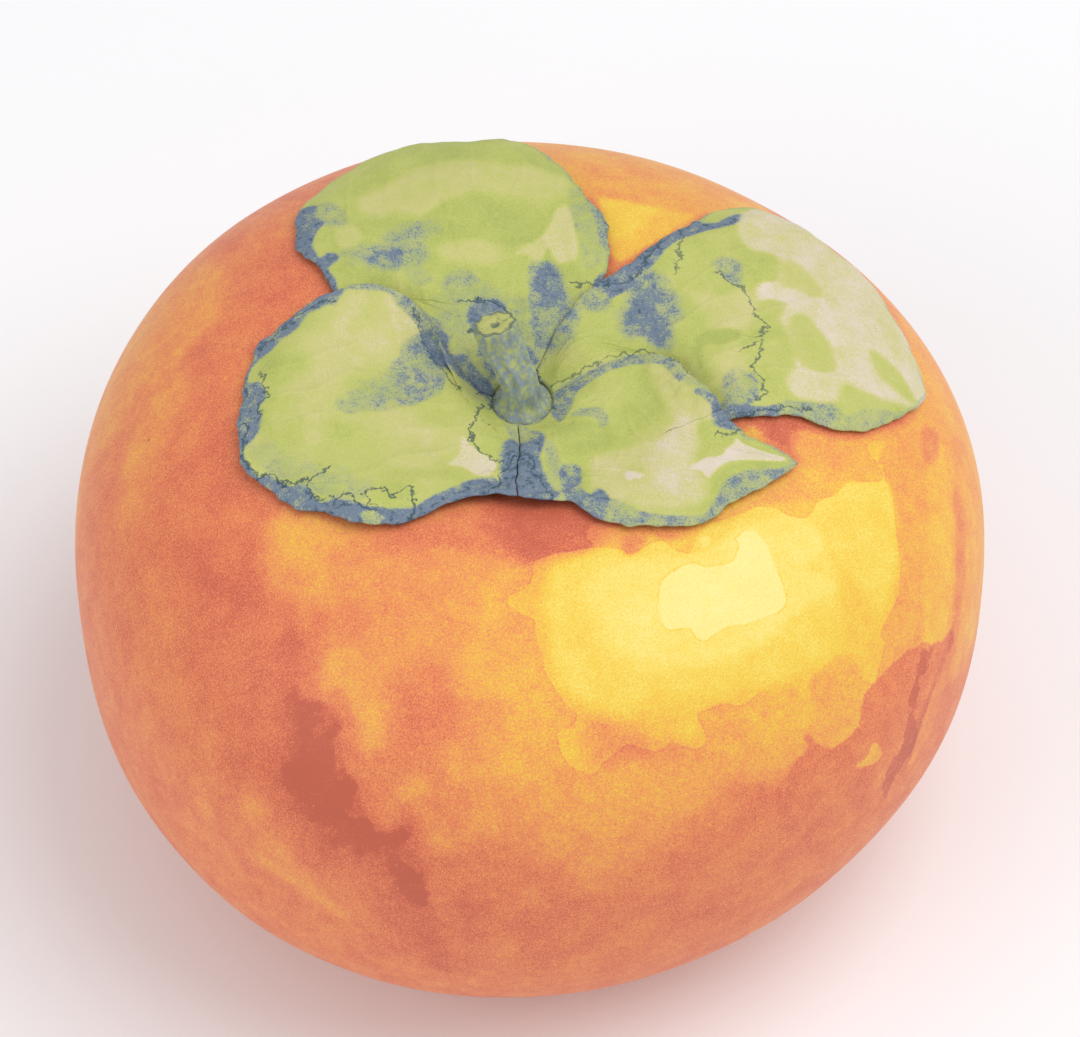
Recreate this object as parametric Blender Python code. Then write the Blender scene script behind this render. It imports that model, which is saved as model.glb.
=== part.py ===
"""A picked persimmon: one squat fruit, the calyx of four leathery sepals on its crown, and a cut stem.

It stands upright on the small flat at its base. Every length is in metres. A place on the crown is given
as (reach, bearing): how far it is from the middle of the crown, measured along the skin, and the direction
it lies in, in degrees anticlockwise from +X seen from above.
"""

import math
from typing import NamedTuple

import bmesh
import bpy
import numpy as np
from mathutils import Vector

MM = 0.001

# The fruit
GIRTH_RADIUS = 38.75 * MM
HALF_HEIGHT = 26.0 * MM
SQUARENESS = 2.5
CROWN_HOLLOW_DEPTH = 6.5 * MM
CROWN_HOLLOW_RADIUS = 12.5 * MM
BASE_HOLLOW_DEPTH = 1.8 * MM
BASE_HOLLOW_RADIUS = 4.0 * MM
BASE_FLAT_CUT = 0.4 * MM
LOBE_COUNT = 3
LOBE_SWELL = 0.018
LOBE_BEARING = math.radians(7.0)
FRUIT_SIDES = 60
FRUIT_RINGS = 42

# How the pieces sit on each other
GAP = 0.35 * MM
DISC_RADIUS = 6.3 * MM
DISC_THICKNESS = 0.95 * MM
DISC_SIDES = 32
DISC_RINGS = 12
SEAT_INNER = 6.9 * MM
SEAT_OUTER = 11.5 * MM

# The sepals
SEPAL_THICKNESS = 1.15 * MM
SEPAL_EDGE_THICKNESS = 0.65 * MM
SEPAL_THIN_BORDER = 3.5 * MM
SEPAL_COLUMNS = 10
SEPAL_ROWS = 18
CREASE_ROWS = 8
SEPAL_LAST_ROW = 0.985
ROUND_BASE_SHARE = 0.3
RIDGE_WIDTH = 2.4 * MM
RIDGE_PEAK_SHARE = 0.34
RIDGE_SPREAD = 0.24
FREE_EDGE_BORDER = 4.5 * MM

# The stem
STEM_RADIUS = 1.8 * MM
STEM_WAIST = 0.82
STEM_LENGTH = 8.0 * MM
STEM_LEAN = math.radians(25.0)
STEM_LEAN_BEARING = math.radians(132.0)
STEM_STATIONS = (0.98, 0.86, 0.7, 0.54, 0.38, 0.22, 0.08, 0.0)
STEM_SIDES = 18

# The dried style at the base
STYLE_RADIUS = 0.9 * MM
STYLE_LENGTH = 0.85 * MM
STYLE_SIDES = 12

MERIDIAN_SAMPLES = 4000

# The creases where neighbouring sepals meet, from the stem out to the notch between them
CREASES = {
    "back_left": ((2.9, 180), (5.4, 160), (8.2, 150), (11.2, 142), (13.6, 141), (15.9, 145), (17.9, 151)),
    "front": ((2.9, 262), (6.3, 268), (10.1, 268), (13.0, 268)),
    "right_front": ((2.9, 17), (6.2, 17), (10.4, 16), (13.2, 8), (15.2, 354), (17.2, 345)),
    "right_back": ((2.9, 72), (5.4, 66), (8.9, 63), (12.9, 59)),
}


class Sepal(NamedTuple):
    """One lobe of the calyx: its outline past the creases on its two sides, and how it lifts off."""

    name: str
    left_crease: str
    left_edge: tuple
    tip: tuple
    right_edge: tuple
    right_crease: str
    left_ridge: float
    right_ridge: float
    tip_lift: float
    edge_lift: float


# Left and right are as seen from the stem, looking out along the sepal. An edge's places run outward on the
# left and inward on the right.
SEPALS = (
    Sepal(
        "sepal_back",
        "back_left",
        ((21.5, 144), (25.5, 140), (29.3, 128)),
        (32.0, 108),
        ((30.2, 94), (27.0, 85), (23.1, 78), (20.8, 71), (18.5, 66), (16.2, 61)),
        "right_back",
        left_ridge=0.4 * MM,
        right_ridge=1.0 * MM,
        tip_lift=1.2 * MM,
        edge_lift=0.6 * MM,
    ),
    Sepal(
        "sepal_left",
        "front",
        ((13.0, 256), (15.6, 243), (19.4, 233), (22.5, 216), (24.5, 202)),
        (24.6, 190),
        ((23.4, 172), (21.5, 164), (19.7, 156)),
        "back_left",
        left_ridge=1.2 * MM,
        right_ridge=1.8 * MM,
        tip_lift=0.5 * MM,
        edge_lift=0.8 * MM,
    ),
    Sepal(
        "sepal_front",
        "right_front",
        ((19.4, 343), (21.9, 342)),
        (24.6, 340),
        ((22.1, 326), (21.2, 315), (19.1, 303), (16.5, 293), (13.9, 286)),
        "front",
        left_ridge=1.8 * MM,
        right_ridge=1.2 * MM,
        tip_lift=0.5 * MM,
        edge_lift=0.6 * MM,
    ),
    Sepal(
        "sepal_right",
        "right_back",
        ((16.3, 52), (19.5, 52), (24.0, 51), (29.5, 50), (33.4, 42)),
        (35.5, 26),
        ((35.6, 12), (35.0, 5), (31.7, 359), (27.3, 353), (21.6, 351)),
        "right_front",
        left_ridge=1.0 * MM,
        right_ridge=0.4 * MM,
        tip_lift=0.5 * MM,
        edge_lift=0.4 * MM,
    ),
)


def smooth_step(low, high, value):
    """0 below low, 1 above high, and an even slope between."""
    share = min(1.0, max(0.0, (value - low) / (high - low)))
    return share * share * (3.0 - 2.0 * share)


class Meridian:
    """The fruit's profile from the middle of its crown to the middle of its base."""

    def __init__(self):
        turn = np.linspace(0.0, math.pi, MERIDIAN_SAMPLES)
        power = 2.0 / SQUARENESS
        self.swell = np.sin(turn)
        self.radius = GIRTH_RADIUS * self.swell**power
        height = HALF_HEIGHT * np.sign(np.cos(turn)) * np.abs(np.cos(turn)) ** power
        hollow = np.exp(-((self.radius / CROWN_HOLLOW_RADIUS) ** 2)) * CROWN_HOLLOW_DEPTH
        dimple = np.exp(-((self.radius / BASE_HOLLOW_RADIUS) ** 2)) * BASE_HOLLOW_DEPTH
        upper = turn < math.pi / 2
        height = np.where(upper, height - hollow, height + dimple) + HALF_HEIGHT - BASE_FLAT_CUT
        self.height = np.maximum(height, 0.0)
        steps = np.hypot(np.diff(self.radius), np.diff(height))
        self.reach = np.concatenate([[0.0], np.cumsum(steps)])
        self.length = self.reach[-1]
        self.outward = np.gradient(self.radius, self.reach)
        self.upward = np.gradient(height, self.reach)

    def at(self, values, reach):
        """One of the profile's rows of values, read at this reach."""
        return float(np.interp(reach, self.reach, values))


MERIDIAN = Meridian()


def skin_point(reach, bearing, rise=0.0):
    """The point on the fruit's skin at this place, lifted off it by rise."""
    swell = MERIDIAN.at(MERIDIAN.swell, reach)
    lobing = 1.0 + LOBE_SWELL * swell * math.cos(LOBE_COUNT * (bearing - LOBE_BEARING))
    outward = MERIDIAN.at(MERIDIAN.outward, reach)
    upward = MERIDIAN.at(MERIDIAN.upward, reach)
    radius = MERIDIAN.at(MERIDIAN.radius, reach) * lobing - upward * rise
    height = MERIDIAN.at(MERIDIAN.height, reach) + outward * rise
    return Vector((radius * math.cos(bearing), radius * math.sin(bearing), height))


def girth_middle():
    """The middle of the fruit's outline seen from above."""
    bearings = np.linspace(0.0, 2.0 * math.pi, 721)
    outline = GIRTH_RADIUS * (1.0 + LOBE_SWELL * np.cos(LOBE_COUNT * (bearings - LOBE_BEARING)))
    x, y = outline * np.cos(bearings), outline * np.sin(bearings)
    return Vector(((x.min() + x.max()) / 2.0, (y.min() + y.max()) / 2.0, 0.0))


def flat_place(reach, bearing):
    """A place on the crown as a point of the flattened skin."""
    return Vector((reach * math.cos(bearing), reach * math.sin(bearing)))


def place_of(point):
    """The reach and bearing of a point of the flattened skin."""
    return point.length, math.atan2(point.y, point.x)


def smooth_line(points, count):
    """Points spaced evenly along a smooth curve through these."""
    ends = [points[0] * 2 - points[1], *points, points[-1] * 2 - points[-2]]
    line = []
    for before, start, end, after in zip(ends, ends[1:], ends[2:], ends[3:], strict=False):
        for step in range(16):
            t = step / 16
            line.append(
                0.5
                * (
                    start * 2
                    + (end - before) * t
                    + (before * 2 - start * 5 + end * 4 - after) * t**2
                    + (start * 3 - before - end * 3 + after) * t**3
                )
            )
    line.append(points[-1])
    lengths = np.cumsum([0.0] + [(b - a).length for a, b in zip(line, line[1:], strict=False)])
    wanted = np.linspace(0.0, lengths[-1], count)
    x = np.interp(wanted, lengths, [p.x for p in line])
    y = np.interp(wanted, lengths, [p.y for p in line])
    return [Vector(pair) for pair in zip(x, y, strict=True)]


def flat_line(places, count):
    """A smooth line of points on the flattened skin through these places."""
    return smooth_line([flat_place(reach * MM, math.radians(bearing)) for reach, bearing in places], count)


def sepal_side(crease, edge, tip, inward):
    """One side of a sepal, half a gap in from its crease, from the stem to the tip.

    inward is 1 when the sepal lies anticlockwise of this side and -1 when it lies clockwise.
    """
    notch = CREASES[crease][-1]
    line = flat_line(CREASES[crease], CREASE_ROWS + 1)
    line += flat_line((notch, *edge, tip), SEPAL_ROWS - CREASE_ROWS + 1)[1:]
    shifted = []
    for number, point in enumerate(line):
        ahead = line[min(number + 1, SEPAL_ROWS)] - line[max(number - 1, 0)]
        normal = Vector((-ahead.y, ahead.x)).normalized() * inward
        shifted.append(point + normal * GAP / 2.0)
    return shifted


def seat_rise(reach):
    """How far a sepal's underside stands off the skin, over the disc and past it."""
    over_disc = DISC_THICKNESS + GAP
    return GAP + over_disc * (1.0 - smooth_step(SEAT_INNER, SEAT_OUTER, reach))


def across(left, right, along, side):
    """The flattened point this far along a sepal, at side -1 on its left to 1 on its right."""
    share = (side + 1.0) / 2.0
    straight = left.lerp(right, share)
    left_reach, left_bearing = place_of(left)
    right_reach, right_bearing = place_of(right)
    turn = (right_bearing - left_bearing) % (2.0 * math.pi) - 2.0 * math.pi
    reach = left_reach + (right_reach - left_reach) * share
    arc = flat_place(reach, left_bearing + turn * share)
    return arc.lerp(straight, smooth_step(0.0, ROUND_BASE_SHARE, along))


def sepal_point(sepal, left, right, along, side, upper):
    """A point of a sepal's underside, or of its upper side."""
    half_width = (right - left).length / 2.0
    reach, bearing = place_of(across(left, right, along, side))
    from_left = (1.0 + side) * half_width
    from_right = (1.0 - side) * half_width
    from_edge = min(from_left, from_right)
    in_crease = math.exp(-(((along - RIDGE_PEAK_SHARE) / RIDGE_SPREAD) ** 2))
    left_ridge = sepal.left_ridge * math.exp(-((from_left / RIDGE_WIDTH) ** 2))
    right_ridge = sepal.right_ridge * math.exp(-((from_right / RIDGE_WIDTH) ** 2))
    ridge = in_crease * (left_ridge + right_ridge)
    free = smooth_step(0.45, 0.75, along) * (1.0 - smooth_step(0.0, FREE_EDGE_BORDER, from_edge))
    lift = sepal.tip_lift * smooth_step(0.5, 1.0, along) + sepal.edge_lift * free
    rise = seat_rise(reach) + ridge + lift
    if upper:
        depth = smooth_step(0.0, SEPAL_THIN_BORDER, from_edge)
        rise += SEPAL_EDGE_THICKNESS + (SEPAL_THICKNESS - SEPAL_EDGE_THICKNESS) * depth
    return skin_point(reach, bearing, rise)


def make_object(name, mesh_builder, colour, roughness):
    """A named object with its own mesh and its own material."""
    mesh = bpy.data.meshes.new(name)
    sheet = bmesh.new()
    mesh_builder(sheet)
    bmesh.ops.recalc_face_normals(sheet, faces=sheet.faces)
    middle = girth_middle()
    bmesh.ops.translate(sheet, vec=-middle, verts=sheet.verts)
    sheet.to_mesh(mesh)
    sheet.free()
    mesh.shade_smooth()
    mesh.set_sharp_from_angle(angle=math.radians(50.0))
    material = bpy.data.materials.new(name)
    material.use_nodes = True
    surface = material.node_tree.nodes["Principled BSDF"]
    surface.inputs["Base Color"].default_value = (*colour, 1.0)
    surface.inputs["Roughness"].default_value = roughness
    surface.inputs["Metallic"].default_value = 0.0
    mesh.materials.append(material)
    part = bpy.data.objects.new(name, mesh)
    bpy.context.scene.collection.objects.link(part)
    return part


def round_body(sheet, rings, sides):
    """A closed ball, with each of its points, that point's ring counted from the top, and its bearing."""
    bmesh.ops.create_uvsphere(sheet, u_segments=sides, v_segments=rings, radius=1.0)
    for vertex in sheet.verts:
        polar = math.acos(max(-1.0, min(1.0, vertex.co.z)))
        yield vertex, round(polar / math.pi * rings), math.atan2(vertex.co.y, vertex.co.x)


def build_fruit(sheet):
    """A body whose rings are spaced evenly along the fruit's profile."""
    for vertex, ring, bearing in round_body(sheet, FRUIT_RINGS, FRUIT_SIDES):
        vertex.co = skin_point(MERIDIAN.length * ring / FRUIT_RINGS, bearing)


def build_disc(sheet):
    """The round disc in the crown's hollow that carries the stem and the sepals."""
    for vertex, ring, bearing in round_body(sheet, DISC_RINGS, DISC_SIDES):
        polar = math.pi * ring / DISC_RINGS
        reach = DISC_RADIUS * math.sin(polar) ** 0.6
        step = math.copysign(abs(math.cos(polar)) ** 0.6, math.cos(polar))
        vertex.co = skin_point(reach, bearing, GAP + DISC_THICKNESS * (step + 1.0) / 2.0)


def sepal_builder(sepal):
    """The function that builds this sepal's solid."""

    def build(sheet):
        left_side = sepal_side(sepal.left_crease, sepal.left_edge, sepal.tip, -1.0)
        right_side = sepal_side(sepal.right_crease, sepal.right_edge[::-1], sepal.tip, 1.0)
        along_layer = sheet.verts.layers.float.new("along")
        side_layer = sheet.verts.layers.float.new("side")
        bmesh.ops.create_grid(sheet, x_segments=SEPAL_COLUMNS, y_segments=SEPAL_ROWS, size=1.0)
        for vertex in sheet.verts:
            vertex[along_layer] = (vertex.co.y + 1.0) / 2.0 * SEPAL_LAST_ROW
            vertex[side_layer] = vertex.co.x
        grown = bmesh.ops.extrude_face_region(sheet, geom=sheet.faces[:])
        upper = {item for item in grown["geom"] if isinstance(item, bmesh.types.BMVert)}
        for vertex in sheet.verts:
            along = vertex[along_layer]
            row = along * SEPAL_ROWS
            low = min(int(row), SEPAL_ROWS - 1)
            left = left_side[low].lerp(left_side[low + 1], row - low)
            right = right_side[low].lerp(right_side[low + 1], row - low)
            vertex.co = sepal_point(sepal, left, right, along, vertex[side_layer], vertex in upper)

    return build


def stem_profile():
    """The stem's rings from its cut end down to its foot, each as (radius, share of the length)."""
    cut_end = [(0.0, 1.0), (0.5, 1.0), (0.93, 1.0)]
    sides = [(1.0 - (1.0 - STEM_WAIST) * math.sin(math.pi * share**0.8), share) for share in STEM_STATIONS]
    foot = [(0.6, 0.0), (0.0, 0.0)]
    return [(radius * STEM_RADIUS, share) for radius, share in cut_end + sides + foot]


def build_stem(sheet):
    """The cut stem, which stands on the disc, narrows a little, leans, and widens at its cut end."""
    foot = skin_point(0.0, 0.0, GAP + DISC_THICKNESS + GAP)
    downhill = Vector((math.cos(STEM_LEAN_BEARING), math.sin(STEM_LEAN_BEARING), 0.0))
    profile = stem_profile()
    for vertex, ring, bearing in round_body(sheet, len(profile) - 1, STEM_SIDES):
        radius, share = profile[ring]
        lean = STEM_LEAN * smooth_step(0.0, 0.8, share)
        offset = Vector((math.cos(bearing), math.sin(bearing), 0.0)) * radius
        offset.z = -math.tan(lean) * offset.dot(downhill)
        axis = Vector((0.0, 0.0, math.cos(lean))) + downhill * math.sin(lean)
        vertex.co = foot + axis * STEM_LENGTH * share + offset


def build_style(sheet):
    """The dry point left by the flower, which hangs in the hollow of the base."""
    bmesh.ops.create_cone(
        sheet,
        cap_ends=True,
        segments=STYLE_SIDES,
        radius1=STYLE_RADIUS * 0.35,
        radius2=STYLE_RADIUS,
        depth=STYLE_LENGTH,
    )
    ceiling = skin_point(MERIDIAN.length, 0.0).z
    bmesh.ops.translate(sheet, vec=(0.0, 0.0, ceiling - GAP - STYLE_LENGTH / 2.0), verts=sheet.verts)


def main():
    for stale in list(bpy.data.objects):
        bpy.data.objects.remove(stale)
    make_object("fruit", build_fruit, (0.80, 0.28, 0.10), 0.38)
    make_object("calyx_disc", build_disc, (0.42, 0.42, 0.22), 0.75)
    for sepal in SEPALS:
        make_object(sepal.name, sepal_builder(sepal), (0.50, 0.56, 0.18), 0.65)
    make_object("stem_stub", build_stem, (0.30, 0.28, 0.18), 0.80)
    make_object("style_tip", build_style, (0.06, 0.04, 0.03), 0.85)


main()
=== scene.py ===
"""A picked persimmon, dressed: waxy skin, a leathery calyx, a cut stem and the dried style under its base.

Each piece is built again, finer, in the place of its plain solid. Lengths are in millimetres until a mesh
or a light is placed. A place on the fruit is its reach, measured along the skin from the middle of the crown,
and its bearing, in degrees anticlockwise from +X seen from above. The skin laid flat is those two as a round
chart. What the picture shows is placed by its pixels, in the 1080 x 1037 frame, and carried on to the fruit
by the camera.
"""

from __future__ import annotations

import logging
import math
from collections.abc import Callable
from dataclasses import dataclass, field
from enum import Enum

import bmesh
import bpy
import numpy as np
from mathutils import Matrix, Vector, noise


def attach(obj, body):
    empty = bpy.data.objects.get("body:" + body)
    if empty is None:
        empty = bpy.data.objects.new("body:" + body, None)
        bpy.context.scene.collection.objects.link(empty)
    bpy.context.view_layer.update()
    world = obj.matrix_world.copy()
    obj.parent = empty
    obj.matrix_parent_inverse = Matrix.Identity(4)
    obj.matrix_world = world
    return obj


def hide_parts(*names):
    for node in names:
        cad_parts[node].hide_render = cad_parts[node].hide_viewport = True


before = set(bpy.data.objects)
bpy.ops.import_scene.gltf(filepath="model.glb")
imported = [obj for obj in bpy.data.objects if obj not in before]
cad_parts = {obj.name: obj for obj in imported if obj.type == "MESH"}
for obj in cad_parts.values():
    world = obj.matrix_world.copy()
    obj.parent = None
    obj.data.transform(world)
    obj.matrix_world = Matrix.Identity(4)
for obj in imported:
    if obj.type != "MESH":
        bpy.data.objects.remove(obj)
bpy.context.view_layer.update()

MM = 0.001
BODY = "root"
LOG = logging.getLogger("persimmon")

Place = tuple[float, float]
Rise = Callable[[np.ndarray], np.ndarray]
Socket = bpy.types.NodeSocket
Tree = bpy.types.NodeTree
Sheet = bmesh.types.BMesh


class Slot(Enum):
    """The record's material slots."""

    SKIN = "skin"
    CALYX = "calyx"
    STEM = "stem"


class Layer(Enum):
    """What soft washes build up, each kept as a field on the meshes."""

    RIPENESS = "ripeness"
    TONE = "tone"
    # BLOOM is the calyx's grey-blue bloom together with painted shade in its creases, notches, dents and
    # rims.
    BLOOM = "bloom"


class Tint(Enum):
    """The washes with sharp edges, in the order in which they lie. Each is kept as a field of distances."""

    # GOLD and CREAM are partly the fruit's own pale colour and partly painted highlight on the lit right
    # shoulder.
    GOLD = "gold"
    CREAM = "cream"
    # RED is painted shade on the skin under the calyx's front tip and in its right notch.
    RED = "red"
    FLUSH = "flush"
    ISLAND = "island"
    RUDDY = "ruddy"


def linear(code: str) -> tuple[float, float, float, float]:
    """Turn an sRGB hex colour into the linear colour that a shader takes.

    Args:
        code: six hex digits after a hash.

    Returns:
        Red, green, blue and an alpha of one.
    """
    parts = [int(code[start : start + 2], 16) / 255.0 for start in (1, 3, 5)]
    light = [part / 12.92 if part <= 0.04045 else ((part + 0.055) / 1.055) ** 2.4 for part in parts]
    return (light[0], light[1], light[2], 1.0)


def per_mm(size: float) -> float:
    """The texture scale, on coordinates in metres, whose features are about this many millimetres across."""
    return 1.0 / (size * MM)


def smooth_step(low: float, high: float, value: np.ndarray) -> np.ndarray:
    """Rise smoothly from 0 at low to 1 at high.

    Args:
        low: where the rise starts.
        high: where it ends.
        value: the numbers to read.

    Returns:
        One share for each number.
    """
    share = np.clip((value - low) / (high - low), 0.0, 1.0)
    return share * share * (3.0 - 2.0 * share)


def lumps(points: np.ndarray, size: float, seed: float = 0.0) -> np.ndarray:
    """Smooth random heights between about -1 and 1 at these points.

    Args:
        points: rows of x, y, z, in millimetres.
        size: how far apart the lumps are.
        seed: moves the pattern, so that two of one size differ.

    Returns:
        One height for each row.
    """
    shifted = points / size + seed
    return np.array([noise.noise(row) for row in shifted.tolist()])


def flat_points(reach: np.ndarray, bearing: np.ndarray) -> np.ndarray:
    """Places on the fruit as points of its skin laid flat, with bearings in radians."""
    return np.stack([reach * np.cos(bearing), reach * np.sin(bearing)], axis=-1)


def flat_places(places: tuple[Place, ...]) -> np.ndarray:
    """Designed places, with bearings in degrees, as points of the skin laid flat."""
    reach, bearing = np.array(places, dtype=float).T
    return flat_points(reach, np.radians(bearing))


def smooth_curve(points: np.ndarray, closed: bool = False, steps: int = 8) -> np.ndarray:
    """Pass a smooth curve through a few points.

    Args:
        points: rows in order, of x, y and anything else that changes along the curve.
        closed: whether the curve returns to its first point.
        steps: how many rows it has from each point to the next.

    Returns:
        Rows close together along the curve.
    """
    if closed:
        padded = np.concatenate([points[-1:], points, points[:2]])
    else:
        padded = np.concatenate([points[:1] * 2 - points[1:2], points, points[-1:] * 2 - points[-2:-1]])
    rows = (padded[:-3], padded[1:-2], padded[2:-1], padded[3:])
    before, start, end, after = (row[:, None, :] for row in rows)
    share = np.linspace(0.0, 1.0, steps, endpoint=False)[None, :, None]
    curve = 0.5 * (
        2.0 * start
        + (end - before) * share
        + (2.0 * before - 5.0 * start + 4.0 * end - after) * share**2
        + (3.0 * start - before - 3.0 * end + after) * share**3
    )
    curve = curve.reshape(-1, points.shape[1])
    return curve if closed else np.concatenate([curve, points[-1:]])


def spaced(curve: np.ndarray, count: int) -> np.ndarray:
    """Points evenly spaced along a curve, both ends among them.

    Args:
        curve: rows of x, y in order.
        count: how many points to return.

    Returns:
        That many rows of x, y.
    """
    lengths = np.concatenate([[0.0], np.cumsum(np.hypot(*np.diff(curve, axis=0).T))])
    wanted = np.linspace(0.0, lengths[-1], count)
    return np.stack([np.interp(wanted, lengths, column) for column in curve.T], axis=-1)


def read_border(points: np.ndarray, border: np.ndarray) -> tuple[np.ndarray, np.ndarray]:
    """Read a closed border at some points.

    Args:
        points: rows of x, y.
        border: rows of x, y and the border's width, in order around it.

    Returns:
        How deep inside the border each point lies, below zero outside it, and the border's width nearest it.
    """
    nearest = np.full(len(points), np.inf)
    width = np.ones(len(points))
    crossings = np.zeros(len(points), dtype=int)
    x, y = points.T
    for (*start, fade), (*end, _) in zip(border, np.roll(border, -1, axis=0), strict=True):
        along = np.array(end) - start
        share = ((points - start) @ along) / max(float(along @ along), 1e-12)
        distance = np.hypot(*(points - start - np.clip(share, 0.0, 1.0)[:, None] * along).T)
        closer = distance < nearest
        nearest[closer] = distance[closer]
        width[closer] = fade
        spans = (start[1] > y) != (end[1] > y)
        crossings += spans & (x < start[0] + (y - start[1]) * along[0] / (along[1] or 1.0))
    return np.where(crossings % 2 == 1, nearest, -nearest), width


def add_node(
    tree: Tree, kind: str, feeds: dict | None = None, output: int | str = 0, **settings: object
) -> Socket | None:
    """Add one node to a material.

    Args:
        tree: the material's nodes.
        kind: the node's type, after "ShaderNode".
        feeds: for each input, by name or number, the socket that feeds it or a plain value.
        output: which of its outputs is wanted.
        settings: its own options.

    Returns:
        That output, or nothing where the node has none.
    """
    node = tree.nodes.new("ShaderNode" + kind)
    for name, value in settings.items():
        setattr(node, name, value)
    for name, value in (feeds or {}).items():
        if isinstance(value, bpy.types.NodeSocket):
            tree.links.new(value, node.inputs[name])
        else:
            node.inputs[name].default_value = value
    return node.outputs[output] if node.outputs else None


def lay_coats(tree: Tree, base: Socket | str, coats: list[tuple[Socket, str]]) -> Socket:
    """Lay coats of colour one over another.

    Args:
        tree: the material's nodes.
        base: the colour under them all.
        coats: how much of each coat covers what is below it, and its colour.

    Returns:
        The colour on top.
    """
    colour = linear(base) if isinstance(base, str) else base
    for share, code in coats:
        feeds = {"Factor": share, 6: colour, 7: linear(code)}
        colour = add_node(tree, "Mix", feeds, 2, data_type="RGBA", clamp_factor=True)
    return colour


def patchy(tree: Tree, size: float, low: float, high: float, top: float = 1.0, detail: float = 5.0) -> Socket:
    """A share that comes and goes at random over the surface.

    Args:
        tree: the material's nodes.
        size: how wide its patches are, in millimetres.
        low: where in the random pattern, which is mostly near a half, the share starts to rise from 0.
        high: where it reaches top; below low, the pattern is turned round.
        top: the most it reaches.
        detail: how many finer layers its borders hold.

    Returns:
        The share.
    """
    place = add_node(tree, "TexCoord", output="Object")
    feeds = {"Vector": place, "Scale": per_mm(size), "Detail": detail, "Roughness": 0.62}
    pattern = add_node(tree, "TexNoise", feeds)
    feeds = {"Value": pattern, "From Min": low, "From Max": high, "To Max": top}
    return add_node(tree, "MapRange", feeds, interpolation_type="SMOOTHSTEP")


def strayed(tree: Tree, distance: Socket, size: float, amount: Socket | float, detail: float = 5.0) -> Socket:
    """A distance made ragged, so that where it is read as a border the border wanders.

    Args:
        tree: the material's nodes.
        distance: the distance, in millimetres.
        size: how far apart the bends are.
        amount: about how far the border strays.
        detail: how many finer bends it has.

    Returns:
        The ragged distance.
    """
    place = add_node(tree, "TexCoord", output="Object")
    feeds = {"Vector": place, "Scale": per_mm(size), "Detail": detail, "Roughness": 0.62}
    pattern = add_node(tree, "TexNoise", feeds)
    feeds = {"Value": pattern, "From Min": 0.25, "From Max": 0.75, "To Min": -1.0, "To Max": 1.0}
    shift = add_node(tree, "MapRange", feeds, clamp=False)
    return add_node(tree, "Math", {0: shift, 1: amount, 2: distance}, operation="MULTIPLY_ADD")


def new_material(name: str) -> tuple[bpy.types.Material, Tree]:
    """Start an empty material.

    Args:
        name: what to call it.

    Returns:
        The material and its nodes.
    """
    material = bpy.data.materials.new(name)
    material.use_nodes = True
    material.node_tree.nodes.clear()
    return material, material.node_tree


def finish_surface(tree: Tree, feeds: dict) -> None:
    """Close a material with its shader, fed with these values."""
    shader = add_node(tree, "BsdfPrincipled", feeds)
    add_node(tree, "OutputMaterial", {"Surface": shader})


@dataclass(frozen=True)
class EdgeLook:
    """How a sharp-edged wash lies on the skin: how far it shifts the ripeness tone, and how its border strays
    and bends.
    """

    tint: Tint
    shift: float
    stray: float
    bend: float
    hem: float = 0.0


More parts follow.
